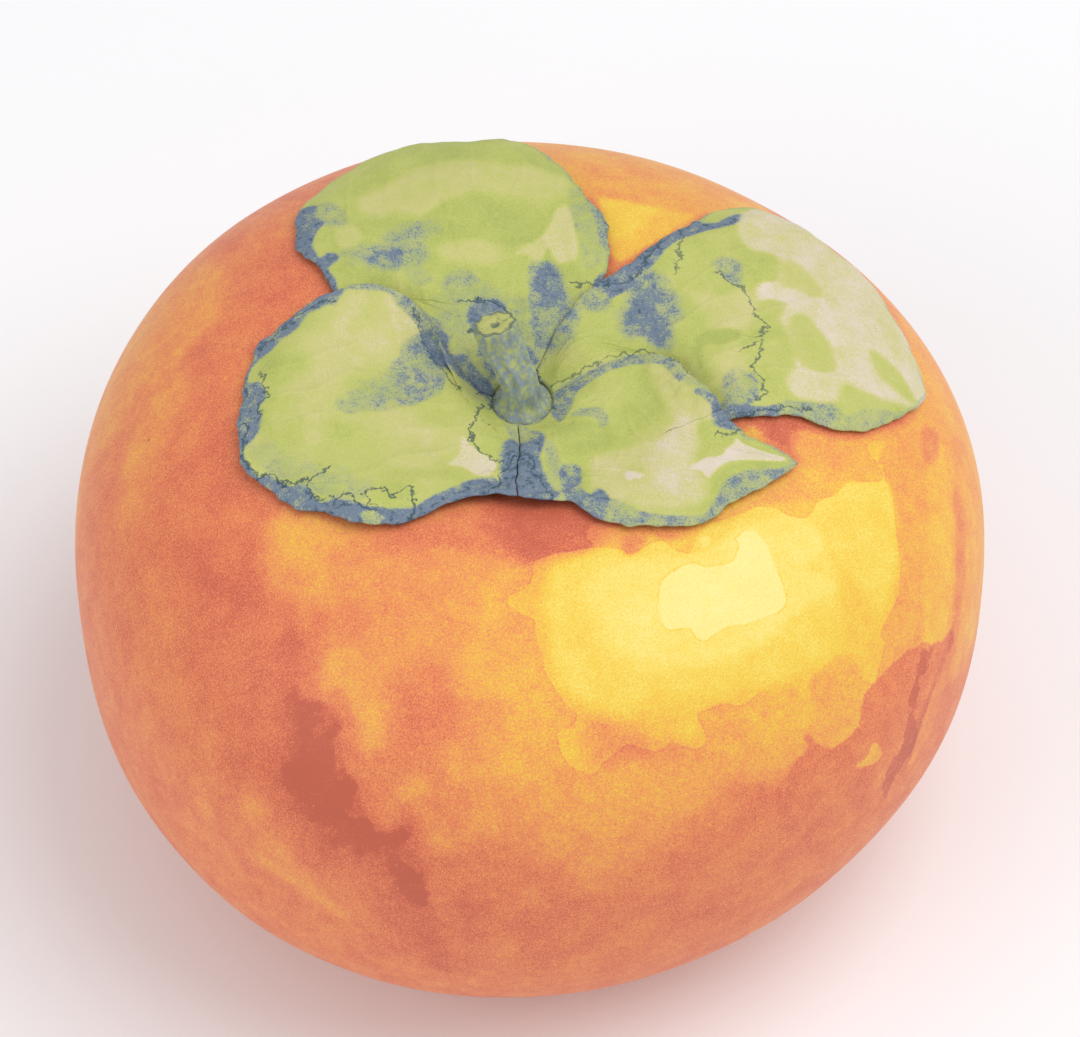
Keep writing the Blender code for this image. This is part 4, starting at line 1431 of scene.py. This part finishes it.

# What it shows on the calyx: first the greens and papery tones, then the bloom, which in the creases,
# notches, folds, dents and along the rims is painted shade as well as bloom.
CALYX_WASHES = """
deeper green of the back lobe | tone 2.35 | 330,240,1 345,200 420,140 520,130 590,170 612,240 600,290 540,330
  480,330 400,290 345,270
papery middle of the left lobe | tone 1.35 | 345,298,1.2 385,300 398,315 420,328 402,345 398,358 370,370
  345,380 340,395 330,410 320,440 305,440 300,410 290,390 310,360 300,345 310,325 330,312
paler top of it | tone 0.75 | 348,300,0.8 360,298 365,305 350,325 340,335 335,325 345,312
pale patch beside the crease | tone 0.9 | 385,300,0.3 400,312 421,328 400,345 395,330 388,315
pale foot of the left lobe | tone 1.4 | 390,410,0.8 415,407 422,418 450,430 463,440 458,455 445,465 420,470
  395,465 385,440 360,425 345,418
green behind the stem's foot | tone 1.9 | 418,406,0.15 440,395 447,372 452,370 470,378 485,400 490,420
  478,440 465,437 450,430 425,418
bare spot at the notch | tone 0.45 | 463,436,0.12 470,445 485,455 497,462 490,475 478,476 462,468 447,466
  458,455
deep green at the left tip | tone 2.3 | 262,355,0.8 280,345 285,370 275,400 270,430 262,420 268,395
pale edge of the back lobe | tone 1.4 | 360,200,0.8 400,180 440,165 500,168 560,175 570,190 560,200 530,200
  480,195 450,200 425,215 395,215 370,215
deep green in the back lobe | tone 2.5 | 430,210,0.3 470,197 500,205 520,208 550,212 548,225 535,240 515,248
  490,235 460,240 440,235 420,225
pale patch at its right | tone 1 | 556,210,0.15 568,205 575,230 578,255 570,262 558,262 548,248 540,262
  528,255 515,250 535,240 548,228
pale patch in its middle | tone 1.5 | 440,245,0.5 480,240 500,250 495,262 460,262 440,255
pale spot at its left | tone 1.4 | 335,228,0.3 350,225 362,238 350,248 338,245
pale patch in the right lobe | tone 1.3 | 690,290,0.5 720,295 750,290 752,320 735,345 715,330 700,310
deep hook in the right lobe | tone 2.8 | 695,345,0.15 700,335 720,328 738,330 740,338 720,345 705,345 702,360
  712,375 706,378 697,362
pale patch below the hook | tone 1.5 | 722,350,0.4 745,352 743,388 722,390
green tongue in the papery tip | tone 2.1 | 742,252,0.15 770,255 775,268 772,280 760,285 750,285 742,270
papery right tip | tone 0.55 | 740,215,0.3 790,205 845,235 895,290 930,340 945,385 935,405 905,402 870,395
  845,385 835,400 800,395 785,380 795,365 790,340 780,320 785,305 770,298 758,300 755,290 765,283 778,280
  775,258 745,248
green patch in the papery tip | tone 1.7 | 790,320,0.2 805,318 815,330 828,345 835,370 810,370 795,355
small green patch above it | tone 1.4 | 785,262,0.3 800,268 820,290 815,300 795,290 780,285
bare patch in the papery tip | tone 0.15 | 820,300,0.15 832,320 835,345 825,335 815,325 818,310
bare patch at its left | tone 0.15 | 758,285,0.15 770,283 775,295 762,298
green along the right edge | tone 1.8 | 868,352,0.3 885,362 910,388 922,402 900,392 880,378
green at the lower edge | tone 1.9 | 850,402,0.3 865,396 885,400 880,408 860,408
pale front lobe | tone 1.2 | 650,370,0.5 680,380 700,400 720,415 705,430 690,440 650,440 600,455 590,470
  600,490 640,505 690,505 710,490 700,470
green heart of the front lobe | tone 2.7 | 555,425,0.5 600,420 615,435 605,450 585,455 560,455
papery patch of the front lobe | tone 0.7 | 660,440,0.6 680,420 695,425 700,445 690,460 700,480 700,500
  680,498 655,480 645,465
bare tip of the front lobe | tone 0.1 | 690,468,0.12 705,458 722,455 735,437 745,442 765,450 785,456 783,460
  765,461 740,461 722,466 712,475 708,478 700,470
bare fleck in the front lobe | tone 0.1 | 627,470,0.1 645,474 632,480 625,477
green lip of the front lobe | tone 2.3 | 710,505,0.15 712,485 722,470 745,463 785,461 775,466 745,470 728,482
  720,495
green edge of the front lobe | tone 2.1 | 700,425,0.2 725,422 735,432 730,445 710,450 700,440
dusting round the stem | bloom 0.3 | 440,290,1 480,282 525,300 540,345 522,395 480,400 450,360
rim of the left lobe | bloom 0.85 | 338,305,0.2 325,308 312,312 303,320 295,330 283,337 270,348 255,358
  248,366 246,378 258,380 264,388 266,398 260,408 262,418 259,430 252,438 244,446 244,456 250,466 256,474
  268,472 278,478 290,484 302,481 308,485 312,494 320,500 335,498 346,497 356,502 364,504 368,506 400,508
  415,506 425,500 440,492 455,486 470,480 485,478 497,480 500,520 470,530 430,530 380,540 340,525 300,520
  260,500 225,470 210,430 205,380 225,340 260,315 300,290 335,285
denser foot of that rim | bloom 1.1 | 290,490,0.4 320,503 345,500 366,508 400,510 440,495 470,484 497,484
  500,515 440,525 380,535 320,520
thin spot in that rim | bloom 0.35 | 362,512,0.2 378,510 382,520 372,528 362,522
dusting inside the left rim | bloom 0.28 | 246,450,0.3 262,440,0.8 285,452,1 310,462 345,470 372,482,0.8
  366,500,0.4 330,498,0.3 300,482 268,472
wedge down the left crease | bloom 0.4 | 421,330,0.15 410,337 402,345 400,355 390,362,0.5 375,375,1 360,385
  345,395,0.5 335,405,0.3 345,415 365,412,0.15 388,412 395,408 412,405 428,398 440,393 445,385 447,372
  443,365 438,358 428,345 424,335
heart of that wedge | bloom 0.55 | 421,330,0.15 410,337 402,345 400,355 395,365,0.5 392,385,0.8 398,400
  412,405,0.15 428,398 440,393 445,385 447,372 443,365 438,358 428,345 424,335
dusting above the crease | bloom 0.55 | 345,293,0.2 365,287 393,287 402,294 420,305 442,322 440,335 425,332
  412,320 395,308 388,299 365,296
crease from the left notch | bloom 0.8 | 425,332,0.25 440,328 450,336 452,350 470,355 480,368 492,380 505,392
  515,404 512,412 500,408 490,398 476,384 460,374 448,366 436,360 425,348
cloud on the back lobe | bloom 0.48 | 400,225,0.8 420,220 440,228 425,240 430,255 420,265 400,270 375,268
  350,262 342,252 360,245 380,240 390,230
heart of that cloud | bloom 0.7 | 370,255,0.5 400,250 405,262 385,268 370,262
puff on the back lobe | bloom 0.35 | 445,282,0.3 450,270 462,264 480,275 478,283 460,284
small puff beside it | bloom 0.3 | 405,275,0.3 420,285 432,278 425,268
left rim of the back lobe | bloom 1 | 330,215,0.25 318,230 312,240 318,252 330,250 338,256 328,265 335,275
  338,288 345,293 340,300 320,300 290,270 270,230 300,205
clot on that rim | bloom 1.2 | 312,268,0.3 326,266 330,280 318,284
thin edge above it | bloom 0.4 | 315,215,0.3 325,203 345,210 347,225 330,228
right edge of the back lobe | bloom 0.28 | 572,182,0.3 590,185 602,200 612,240 600,262 585,270 580,250
  575,230 568,205
hem of that edge | bloom 0.55 | 584,185,0.2 600,205 612,235 608,250 600,240 596,222 588,200
crease to the back notch | bloom 0.62 | 530,262,0.3 545,262,0.5 560,275,0.8 562,285 572,300,1 578,310 575,335
  560,348 545,352 535,345,0.5 530,320,0.25 528,290
heart of that crease | bloom 0.95 | 540,265,0.4 552,262 560,285,0.7 560,300 545,300 540,285
back rim of the right lobe | bloom 1 | 592,285,0.25 600,272 620,265 640,240 660,222 690,215 715,222 740,212
  735,225 700,232 670,245 655,262 640,275 625,290 610,298 598,296
cloud on the right lobe | bloom 0.7 | 625,275,0.8 650,270 665,280 678,300 682,315 672,325,0.6 672,345 655,345
  640,335 625,335,0.9 618,315 628,300
heart of that cloud on the right | bloom 1.1 | 632,310,0.6 655,310 655,325 662,340 650,335 640,322
puff behind it | bloom 0.45 | 578,292,0.4 600,290 612,298 605,312 585,312
puff out on the right lobe | bloom 0.5 | 712,265,0.4 722,257 738,262 742,275 740,285 725,280
cloud round the stem | bloom 0.9 | 478,298,0.3 500,300 508,312 512,330 525,345 540,352 535,362 520,360
  508,345 495,340 480,335 468,320 470,308
puff before the stem | bloom 0.7 | 478,345,0.4 500,345 505,360 500,375 485,368
second puff before the stem | bloom 0.4 | 500,372,0.4 520,370 540,376 535,390 510,392
band along the front crease | bloom 0.6 | 548,398,0.2 555,385 565,378 590,365 615,355 640,350 665,357 680,370
  690,385 678,385 665,370 645,366 625,366 605,372 590,380 575,392 570,405 560,420 550,410
thick start of that band | bloom 0.65 | 548,398,0.3 556,385 570,378 582,378 575,392 568,408 556,412
puff on the front lobe | bloom 0.45 | 590,405,0.2 602,405 608,420 600,425 592,415 570,415 575,408
thin end of the band | bloom 0.3 | 685,385,0.2 692,383 708,396 722,410 715,412 700,402
front notch | bloom 0.95 | 505,440,0.5 525,428 540,430 545,440,0.35 540,455 545,475 555,480 560,495 545,505
  520,510 500,508 495,500 480,492 470,482 498,480 500,460,0.5
clots in the front notch | bloom 1.25 | 512,448,0.3 530,446 536,470 548,492 525,500 508,490 506,468
run above the front notch | bloom 0.45 | 508,405,0.25 520,410 530,425 540,435 520,440 510,432 505,418
thin run right of the notch | bloom 0.35 | 545,440,0.3 560,455 560,490 548,480
rim of the front lobe | bloom 0.75 | 562,465,0.2 580,468 582,485 590,492 600,488 612,498 625,510 600,525
  575,515 565,500 560,480
long rim of the front lobe | bloom 0.5 | 612,498,0.2 640,508 665,512 700,512 720,505 730,495 735,505 725,518
  690,525 640,530 605,520
rim before the front tip | bloom 0.55 | 708,512,0.2 718,492 728,478 745,470 765,468 785,464 795,450 812,450
  800,475 770,490 740,495 725,510
fold behind the front tip | bloom 0.7 | 800,450,0.2 785,444 770,440 758,432 745,425 735,430 722,420 710,408
  695,398 705,395 725,405 735,412 750,420 765,425 785,432 800,440
lower rim of the right lobe | bloom 0.75 | 712,412,0.2 718,400 735,392 742,375 755,375 758,395 750,402
  765,403 785,400 792,400 792,428 765,435 740,430 715,428
thinner rim after it | bloom 0.5 | 785,400,0.2 800,398 820,400 840,405 842,430 810,430 785,428
last of the lower rim | bloom 0.35 | 838,405,0.2 850,412 870,405 900,408 925,405 930,425 870,435 838,430
dusting over the lower rim | bloom 0.4 | 725,372,0.4 748,370 752,395 735,402 722,395
"""

# The thin dark lines that the bloom left where it dried: each point is a pixel and how dark the line is.
CALYX_LINES = """
left rim's start | 243,380,0.9 240,366 240,355
left rim's bend | 262,380,0.9 266,395 262,405
left rim's foot | 243,440,1 243,456 250,466 256,474 268,471 280,478 292,484 304,481 310,478
left rim's second bend | 306,488,1 318,499 335,498 346,496 356,503 366,505
loop on the left lobe | 366,505,1 366,488 380,492 395,498 403,490 412,488 412,498
left lobe's top rim | 270,337,0.9 290,320 300,312 312,308
right lobe's back rim | 590,283,0.9 625,283 640,268 650,255 660,243
back rim's spur | 680,243,0.8 678,256
loop beside the stem | 478,300,1 498,302 506,310 507,320 500,325 488,328
tail of that loop | 500,325,1 510,336 517,350 530,360 538,372 536,386 544,396
left of the front crease | 480,410,1 470,430 478,448 498,461
hook before the stem | 497,388,1 523,385 527,405 518,396 500,400
front notch's arch | 500,480,1 512,462 530,456 536,478 548,494
step in the right lobe | 735,283,0.9 748,292 752,305 755,315 765,325 760,335
run down the right lobe | 755,345,0.9 763,342 758,355 755,368 765,385 762,393
right lobe's lower rim | 755,408,0.9 790,405
front tip's fold | 738,430,0.9 755,425
front crease's border | 560,378,0.8 590,363 615,354 640,348 665,355 682,370
back lobe's hem | 584,186,0.7 600,206 612,236
left crease's border | 421,330,0.8 436,358 447,372
"""


@dataclass
class Fruit(PieceMaker):
    """The body of the fruit and its washes of colour: what ripening left on it, with painted highlight and
    painted shade among them.
    """

    rings: int = 240
    sides: int = 360
    plain: float = 6.3
    washes: tuple[Wash, ...] = read_washes(SKIN_WASHES)

    def build(self) -> None:
        """Build the fruit with its washes."""
        sheet, steps, bearing = self.ball(self.rings, self.sides)
        reach = steps / self.rings * self.form.length
        self.move(sheet, self.form.points(reach, bearing))
        paint = Paintwork(self.washes, (), self.view, self.form, np.zeros_like)
        self.write_fields(sheet, paint.read(flat_points(reach, bearing), {Layer.RIPENESS: self.plain}))
        self.piece("fruit_flesh_and_skin", "fruit", sheet, WaxyFruitSkin().make(), Slot.SKIN)


@dataclass
class Calyx(PieceMaker):
    """The four sepals and the disc that they and the stem stand on."""

    sepals: tuple[SepalShape, ...] = (
        SepalShape(
            "sepal_back",
            Margin(BACK_LEFT_CREASE, ((21.5, 144), (25.5, 140), (29.3, 128)), 0.4),
            (32.0, 108),
            Margin(
                RIGHT_BACK_CREASE,
                ((16.2, 61), (18.5, 66), (20.8, 71), (23.1, 78), (27.0, 85), (30.2, 94)),
                0.4,
            ),
            tip_lift=0.66,
            edge_lift=0.40,
            seed=1.0,
        ),
        SepalShape(
            "sepal_left",
            Margin(FRONT_CREASE, ((13.0, 256), (15.6, 243), (19.4, 233), (22.5, 216), (24.5, 202)), 1.1),
            (24.6, 190),
            Margin(BACK_LEFT_CREASE, ((19.7, 156), (21.5, 164), (23.4, 172)), 1.7, 0.5),
            tip_lift=0.28,
            edge_lift=0.45,
            seed=2.0,
        ),
        SepalShape(
            "sepal_front",
            Margin(RIGHT_FRONT_CREASE, ((19.4, 343), (21.9, 342)), 1.7, 0.6),
            (24.6, 340),
            Margin(FRONT_CREASE, ((13.9, 286), (16.5, 293), (19.1, 303), (21.2, 315), (22.1, 326)), 1.1),
            tip_lift=0.28,
            edge_lift=0.35,
            seed=3.0,
        ),
        SepalShape(
            "sepal_right",
            Margin(RIGHT_BACK_CREASE, ((16.3, 52), (19.5, 52), (24.0, 51), (29.5, 50), (33.4, 42)), 1.2, 0.3),
            (35.5, 26),
            Margin(RIGHT_FRONT_CREASE, ((21.6, 351), (27.3, 353), (31.7, 359), (35.0, 5), (35.6, 12)), 0.3),
            tip_lift=0.28,
            edge_lift=0.30,
            seed=4.0,
        ),
    )
    washes: tuple[Wash, ...] = read_washes(CALYX_WASHES)
    lines: tuple[str, ...] = tuple(path for _, path in listed(CALYX_LINES))
    last_row: float = 0.99
    plain: tuple[tuple[Layer, float], ...] = ((Layer.TONE, 2.0), (Layer.BLOOM, 0.0))
    disc_radius: float = 6.3
    disc_thickness: float = 0.95
    disc_rise: float = 0.35
    disc_flatness: float = 0.6
    disc_rings: int = 40
    disc_sides: int = 96
    far_from_margin: float = 9.0
    collar_radius: float = 2.5
    collar_width: float = 0.4
    collar_height: float = 0.3
    collar_lumps: Unevenness = Unevenness(1.1, 0.05, (3.0,))
    # The disc's floor of grey-blue is painted shade as well as bloom.
    dusting: float = 0.45
    shade_and_dusting_lumps: Unevenness = Unevenness(1.5, 0.4, (9.0,))
    crowding: float = 0.45

    def build(self) -> None:
        """Build the disc and the sepals."""
        first = self.sepals[0]
        paint = Paintwork(
            self.washes, self.lines, self.view, self.form, lambda reach: first.seat(reach) + first.thickness
        )
        tissue = LeatheryCalyx().make()
        self.build_disc(paint, tissue)
        for shape in self.sepals:
            self.build_sepal(shape, paint, tissue)

    def marks(self, paint: Paintwork, flat: np.ndarray) -> dict[str, np.ndarray]:
        """Every wash and line on the calyx, read at points of the flat skin."""
        return paint.read(flat, dict(self.plain)) | paint.read_lines(flat)

    def build_sepal(self, shape: SepalShape, paint: Paintwork, tissue: bpy.types.Material) -> None:
        """Build one sepal as a closed, thin-lipped leaf.

        Args:
            shape: its outline and relief.
            paint: the washes and lines on the calyx.
            tissue: its finish.
        """
        sheet = bmesh.new()
        bmesh.ops.create_grid(sheet, x_segments=shape.columns, y_segments=shape.rows, size=1.0)
        grown = bmesh.ops.extrude_face_region(sheet, geom=sheet.faces[:])["geom"]
        upper_side = {item for item in grown if isinstance(item, bmesh.types.BMVert)}
        upper = np.array([1.0 if vertex in upper_side else -1.0 for vertex in sheet.verts])
        grid = np.array([vertex.co[:2] for vertex in sheet.verts])
        # Columns stand closer together near both margins, where the lip turns over.
        side = (1.0 - self.crowding) * grid[:, 0] + self.crowding * np.sin(grid[:, 0] * math.pi / 2.0)
        along = (grid[:, 1] + 1.0) / 2.0 * self.last_row
        flat, half_width = shape.layout(along, side)
        marks = self.marks(paint, flat)
        relief = shape.relief(flat, along, side, half_width, marks[Layer.BLOOM.value])
        rise = relief["middle"] + upper * relief["half"]
        self.move(sheet, self.form.points(np.hypot(*flat.T), np.arctan2(flat[:, 1], flat[:, 0]), rise))
        self.write_fields(sheet, {"edge": relief["edge"], "vein": relief["vein"], **marks})
        self.piece(shape.name + "_leaf", shape.name, sheet, tissue, Slot.CALYX)

    def build_disc(self, paint: Paintwork, tissue: bpy.types.Material) -> None:
        """Build the disc, with a low collar that fills the room between the stem and the sepals.

        Args:
            paint: the washes and lines on the calyx.
            tissue: its finish.
        """
        sheet, steps, bearing = self.ball(self.disc_rings, self.disc_sides)
        polar = math.pi * steps / self.disc_rings
        level = np.cos(polar)
        reach = self.disc_radius * np.sin(polar) ** self.disc_flatness
        step = (np.sign(level) * np.abs(level) ** self.disc_flatness + 1.0) / 2.0
        rise = self.disc_rise + self.disc_thickness * step
        spots = np.column_stack([flat_points(reach, bearing), rise])
        collar = np.exp(-(((reach - self.collar_radius) / self.collar_width) ** 2)) * (level > 0.0)
        collar *= self.collar_height + self.collar_lumps.push(spots)[:, 0]
        self.move(sheet, self.form.points(reach, bearing, rise + collar))
        marks = self.marks(paint, flat_points(reach, bearing))
        # The disc sits low among the sepals and the stem, so a grey-blue floor is painted on it as shade as
        # well as bloom.
        dusting = self.dusting + self.shade_and_dusting_lumps.push(spots)[:, 0]
        marks[Layer.BLOOM.value] = np.maximum(marks[Layer.BLOOM.value], dusting)
        edge = np.full(len(reach), self.far_from_margin)
        self.write_fields(sheet, {"edge": edge, "vein": np.zeros(len(reach)), **marks})
        self.piece("calyx_disc_and_collar", "calyx_disc", sheet, tissue, Slot.CALYX)


@dataclass
class StemStub(PieceMaker):
    """The short stem left when the fruit was cut off its twig."""

    radius: float = 1.8
    waist: float = 0.82
    flare: float = 0.33
    length: float = 8.0
    lean: float = 25.0
    lean_bearing: float = 132.0
    foot_rise: float = 1.65
    sides: int = 96
    end_steps: int = 14
    side_steps: int = 60
    foot_steps: int = 6
    flute_count: int = 9
    flute_depth: float = 0.13
    flare_height: float = 0.07
    knot_swell: float = 0.16
    knot_height: float = 0.42
    knot_spread: float = 0.05
    bevel: float = 0.05
    pith_depth: float = 0.22
    pith_radius: float = 0.3
    cut_lumps: Unevenness = Unevenness(0.8, 0.1, (33.0,))
    bark_lumps: tuple[Unevenness, ...] = (
        Unevenness(0.9, 0.07, (12.0,)),
        Unevenness(2.2, 0.10, (21.0,)),
    )

    def build(self) -> None:
        """Build the stem from its cut end down to its foot."""
        rings = self.end_steps + self.side_steps + self.foot_steps
        sheet, steps, bearing = self.ball(rings, self.sides)
        share = np.clip(1.0 - (steps - self.end_steps) / self.side_steps, 0.0, 1.0)
        ring = np.minimum(steps / self.end_steps, (rings - steps) / self.foot_steps)
        ring = np.minimum(ring, 1.0)
        radius = self.girth(share, bearing, ring)
        turn = math.radians(self.lean_bearing)
        downhill = np.array([math.cos(turn), math.sin(turn), 0.0])
        lean = math.radians(self.lean) * smooth_step(0.0, 0.8, share)
        offset = np.column_stack([np.cos(bearing) * radius, np.sin(bearing) * radius, np.zeros(len(radius))])
        offset[:, 2] = -np.tan(lean) * (offset @ downhill)
        axis = np.outer(np.sin(lean), downhill) + np.outer(np.cos(lean), [0.0, 0.0, 1.0])
        rough = self.cut_lumps.push(np.column_stack([offset[:, :2], np.zeros(len(radius))]))[:, 0]
        pith = self.pith_depth * np.exp(-((ring / self.pith_radius) ** 2))
        sunk = (steps < self.end_steps) * (pith + rough)
        foot = self.form.points(np.zeros(1), np.zeros(1), self.foot_rise)[0]
        self.move(sheet, foot + axis * (self.length * share - sunk)[:, None] + offset)
        self.write_fields(sheet, {"cut": (steps <= self.end_steps).astype(float), "ring": ring})
        self.piece("stem_twig", "stem_stub", sheet, CutTwig().make(), Slot.STEM)

    def girth(self, share: np.ndarray, bearing: np.ndarray, ring: np.ndarray) -> np.ndarray:
        """How far the stem's surface is from its middle.

        Args:
            share: how far up the stem.
            bearing: the direction round it, in radians.
            ring: how far out on its end or its foot.

        Returns:
            The radius at each point.
        """
        spots = np.column_stack([np.cos(bearing) * 2.0, np.sin(bearing) * 2.0, share * self.length])
        profile = 1.0 - (1.0 - self.waist) * np.sin(math.pi * share**0.8)
        profile += self.flare * np.exp(-((share / self.flare_height) ** 2))
        knot = self.knot_swell * np.exp(-(((share - self.knot_height) / self.knot_spread) ** 2))
        knot *= 0.6 + lumps(spots, 2.0, 5.0)
        flutes = self.flute_depth * np.cos(self.flute_count * bearing + 3.0 * lumps(spots, 3.0, 2.0))
        rough = sum(lump.push(spots)[:, 0] for lump in self.bark_lumps)
        radius = (self.radius * profile + (flutes + rough + knot) * smooth_step(0.0, 0.2, ring)) * ring
        on_side = 1.0 - self.bevel * smooth_step(0.97, 1.0, share)
        return radius * np.where(ring >= 1.0, on_side, 1.0 - self.bevel * (1.0 - ring))


@dataclass
class StyleTip(PieceMaker):
    """The dried style that hangs in the hollow of the base, split at its end."""

    radius: float = 0.9
    length: float = 0.85
    gap: float = 0.35
    taper: float = 0.55
    lobes: int = 4
    split: float = 0.22
    rings: int = 24
    sides: int = 40

    def build(self) -> None:
        """Build the point, wider where it joins the fruit and split into lobes where it ends."""
        sheet, steps, bearing = self.ball(self.rings, self.sides)
        share = steps / self.rings
        radius = self.radius * np.sin(math.pi * share) ** 0.5 * (1.0 - self.taper * share)
        radius *= 1.0 + self.split * np.cos(self.lobes * bearing) * share
        ceiling = self.form.points(np.array([self.form.length]), np.zeros(1))[0]
        drop = self.gap + self.length * (0.5 - 0.5 * np.cos(math.pi * share))
        points = np.column_stack([np.cos(bearing) * radius, np.sin(bearing) * radius, -drop]) + ceiling
        self.move(sheet, points)
        self.piece("style_point", "style_tip", sheet, DriedStyle().make(), Slot.STEM)


@dataclass(frozen=True)
class SoftPanel:
    """One round light: where it hangs, how wide it is, its power in watts and its colour."""

    name: str
    place: tuple[float, float, float]
    size: float
    power: float
    tint: str


@dataclass
class Studio:
    """The pale board, the soft lights and the camera."""

    view: PictureView = field(default_factory=PictureView)
    board_size: float = 2400.0
    sky: str = "#ffffff"
    sky_strength: float = 0.58
    panels: tuple[SoftPanel, ...] = (
        SoftPanel("softbox", (330.0, -10.0, 600.0), 640.0, 2.3, "#ffffff"),
        SoftPanel("fill_panel", (-480.0, -320.0, 380.0), 520.0, 1.0, "#fbfcff"),
    )
    nearest_seen: float = 20.0
    farthest_seen: float = 20000.0

    def build(self) -> None:
        """Set up everything around the fruit."""
        self.build_board()
        self.build_sky()
        for panel in self.panels:
            self.hang(panel)
        self.build_camera()
        bpy.context.scene.view_settings.view_transform = "Standard"

    def build_board(self) -> None:
        """Lay the board that the fruit stands on."""
        sheet = bmesh.new()
        bmesh.ops.create_grid(sheet, x_segments=2, y_segments=2, size=self.board_size / 2.0 * MM)
        mesh = bpy.data.meshes.new("board")
        sheet.to_mesh(mesh)
        sheet.free()
        mesh.materials.append(PaintedBoard().make())
        board = bpy.data.objects.new("board", mesh)
        bpy.context.scene.collection.objects.link(board)

    def build_sky(self) -> None:
        """Surround the scene with even, pale light."""
        world = bpy.data.worlds.new("studio_air")
        world.use_nodes = True
        background = world.node_tree.nodes["Background"]
        background.inputs["Color"].default_value = linear(self.sky)
        background.inputs["Strength"].default_value = self.sky_strength
        bpy.context.scene.world = world

    def hang(self, panel: SoftPanel) -> None:
        """Hang one panel so that it faces the fruit.

        Args:
            panel: the panel.
        """
        lamp = bpy.data.lights.new(panel.name, "AREA")
        lamp.shape = "DISK"
        lamp.size = panel.size * MM
        lamp.energy = panel.power
        lamp.color = linear(panel.tint)[:3]
        hung = bpy.data.objects.new(panel.name, lamp)
        hung.location = Vector(panel.place) * MM
        facing = Vector(self.view.aim) - Vector(panel.place)
        hung.rotation_euler = facing.to_track_quat("-Z", "Y").to_euler()
        bpy.context.scene.collection.objects.link(hung)

    def build_camera(self) -> None:
        """Look down on the crown from the front, as the picture does."""
        lens = bpy.data.cameras.new("picture_view")
        lens.lens = self.view.lens
        lens.sensor_width = self.view.sensor
        lens.clip_start = self.nearest_seen * MM
        lens.clip_end = self.farthest_seen * MM
        camera = bpy.data.objects.new("picture_view", lens)
        back = Vector(self.view.back)
        camera.location = (Vector(self.view.aim) + back * self.view.distance) * MM
        camera.rotation_euler = (-back).to_track_quat("-Z", "Y").to_euler()
        bpy.context.scene.collection.objects.link(camera)
        bpy.context.scene.camera = camera


def main() -> None:
    """Build every piece, then the studio round them."""
    logging.basicConfig(level=logging.INFO, format="%(name)s: %(message)s")
    form, view = FruitForm(), PictureView()
    for maker in (Fruit, Calyx, StemStub, StyleTip):
        maker(form, view).build()
    Studio(view).build()


if __name__ == "__main__":
    main()
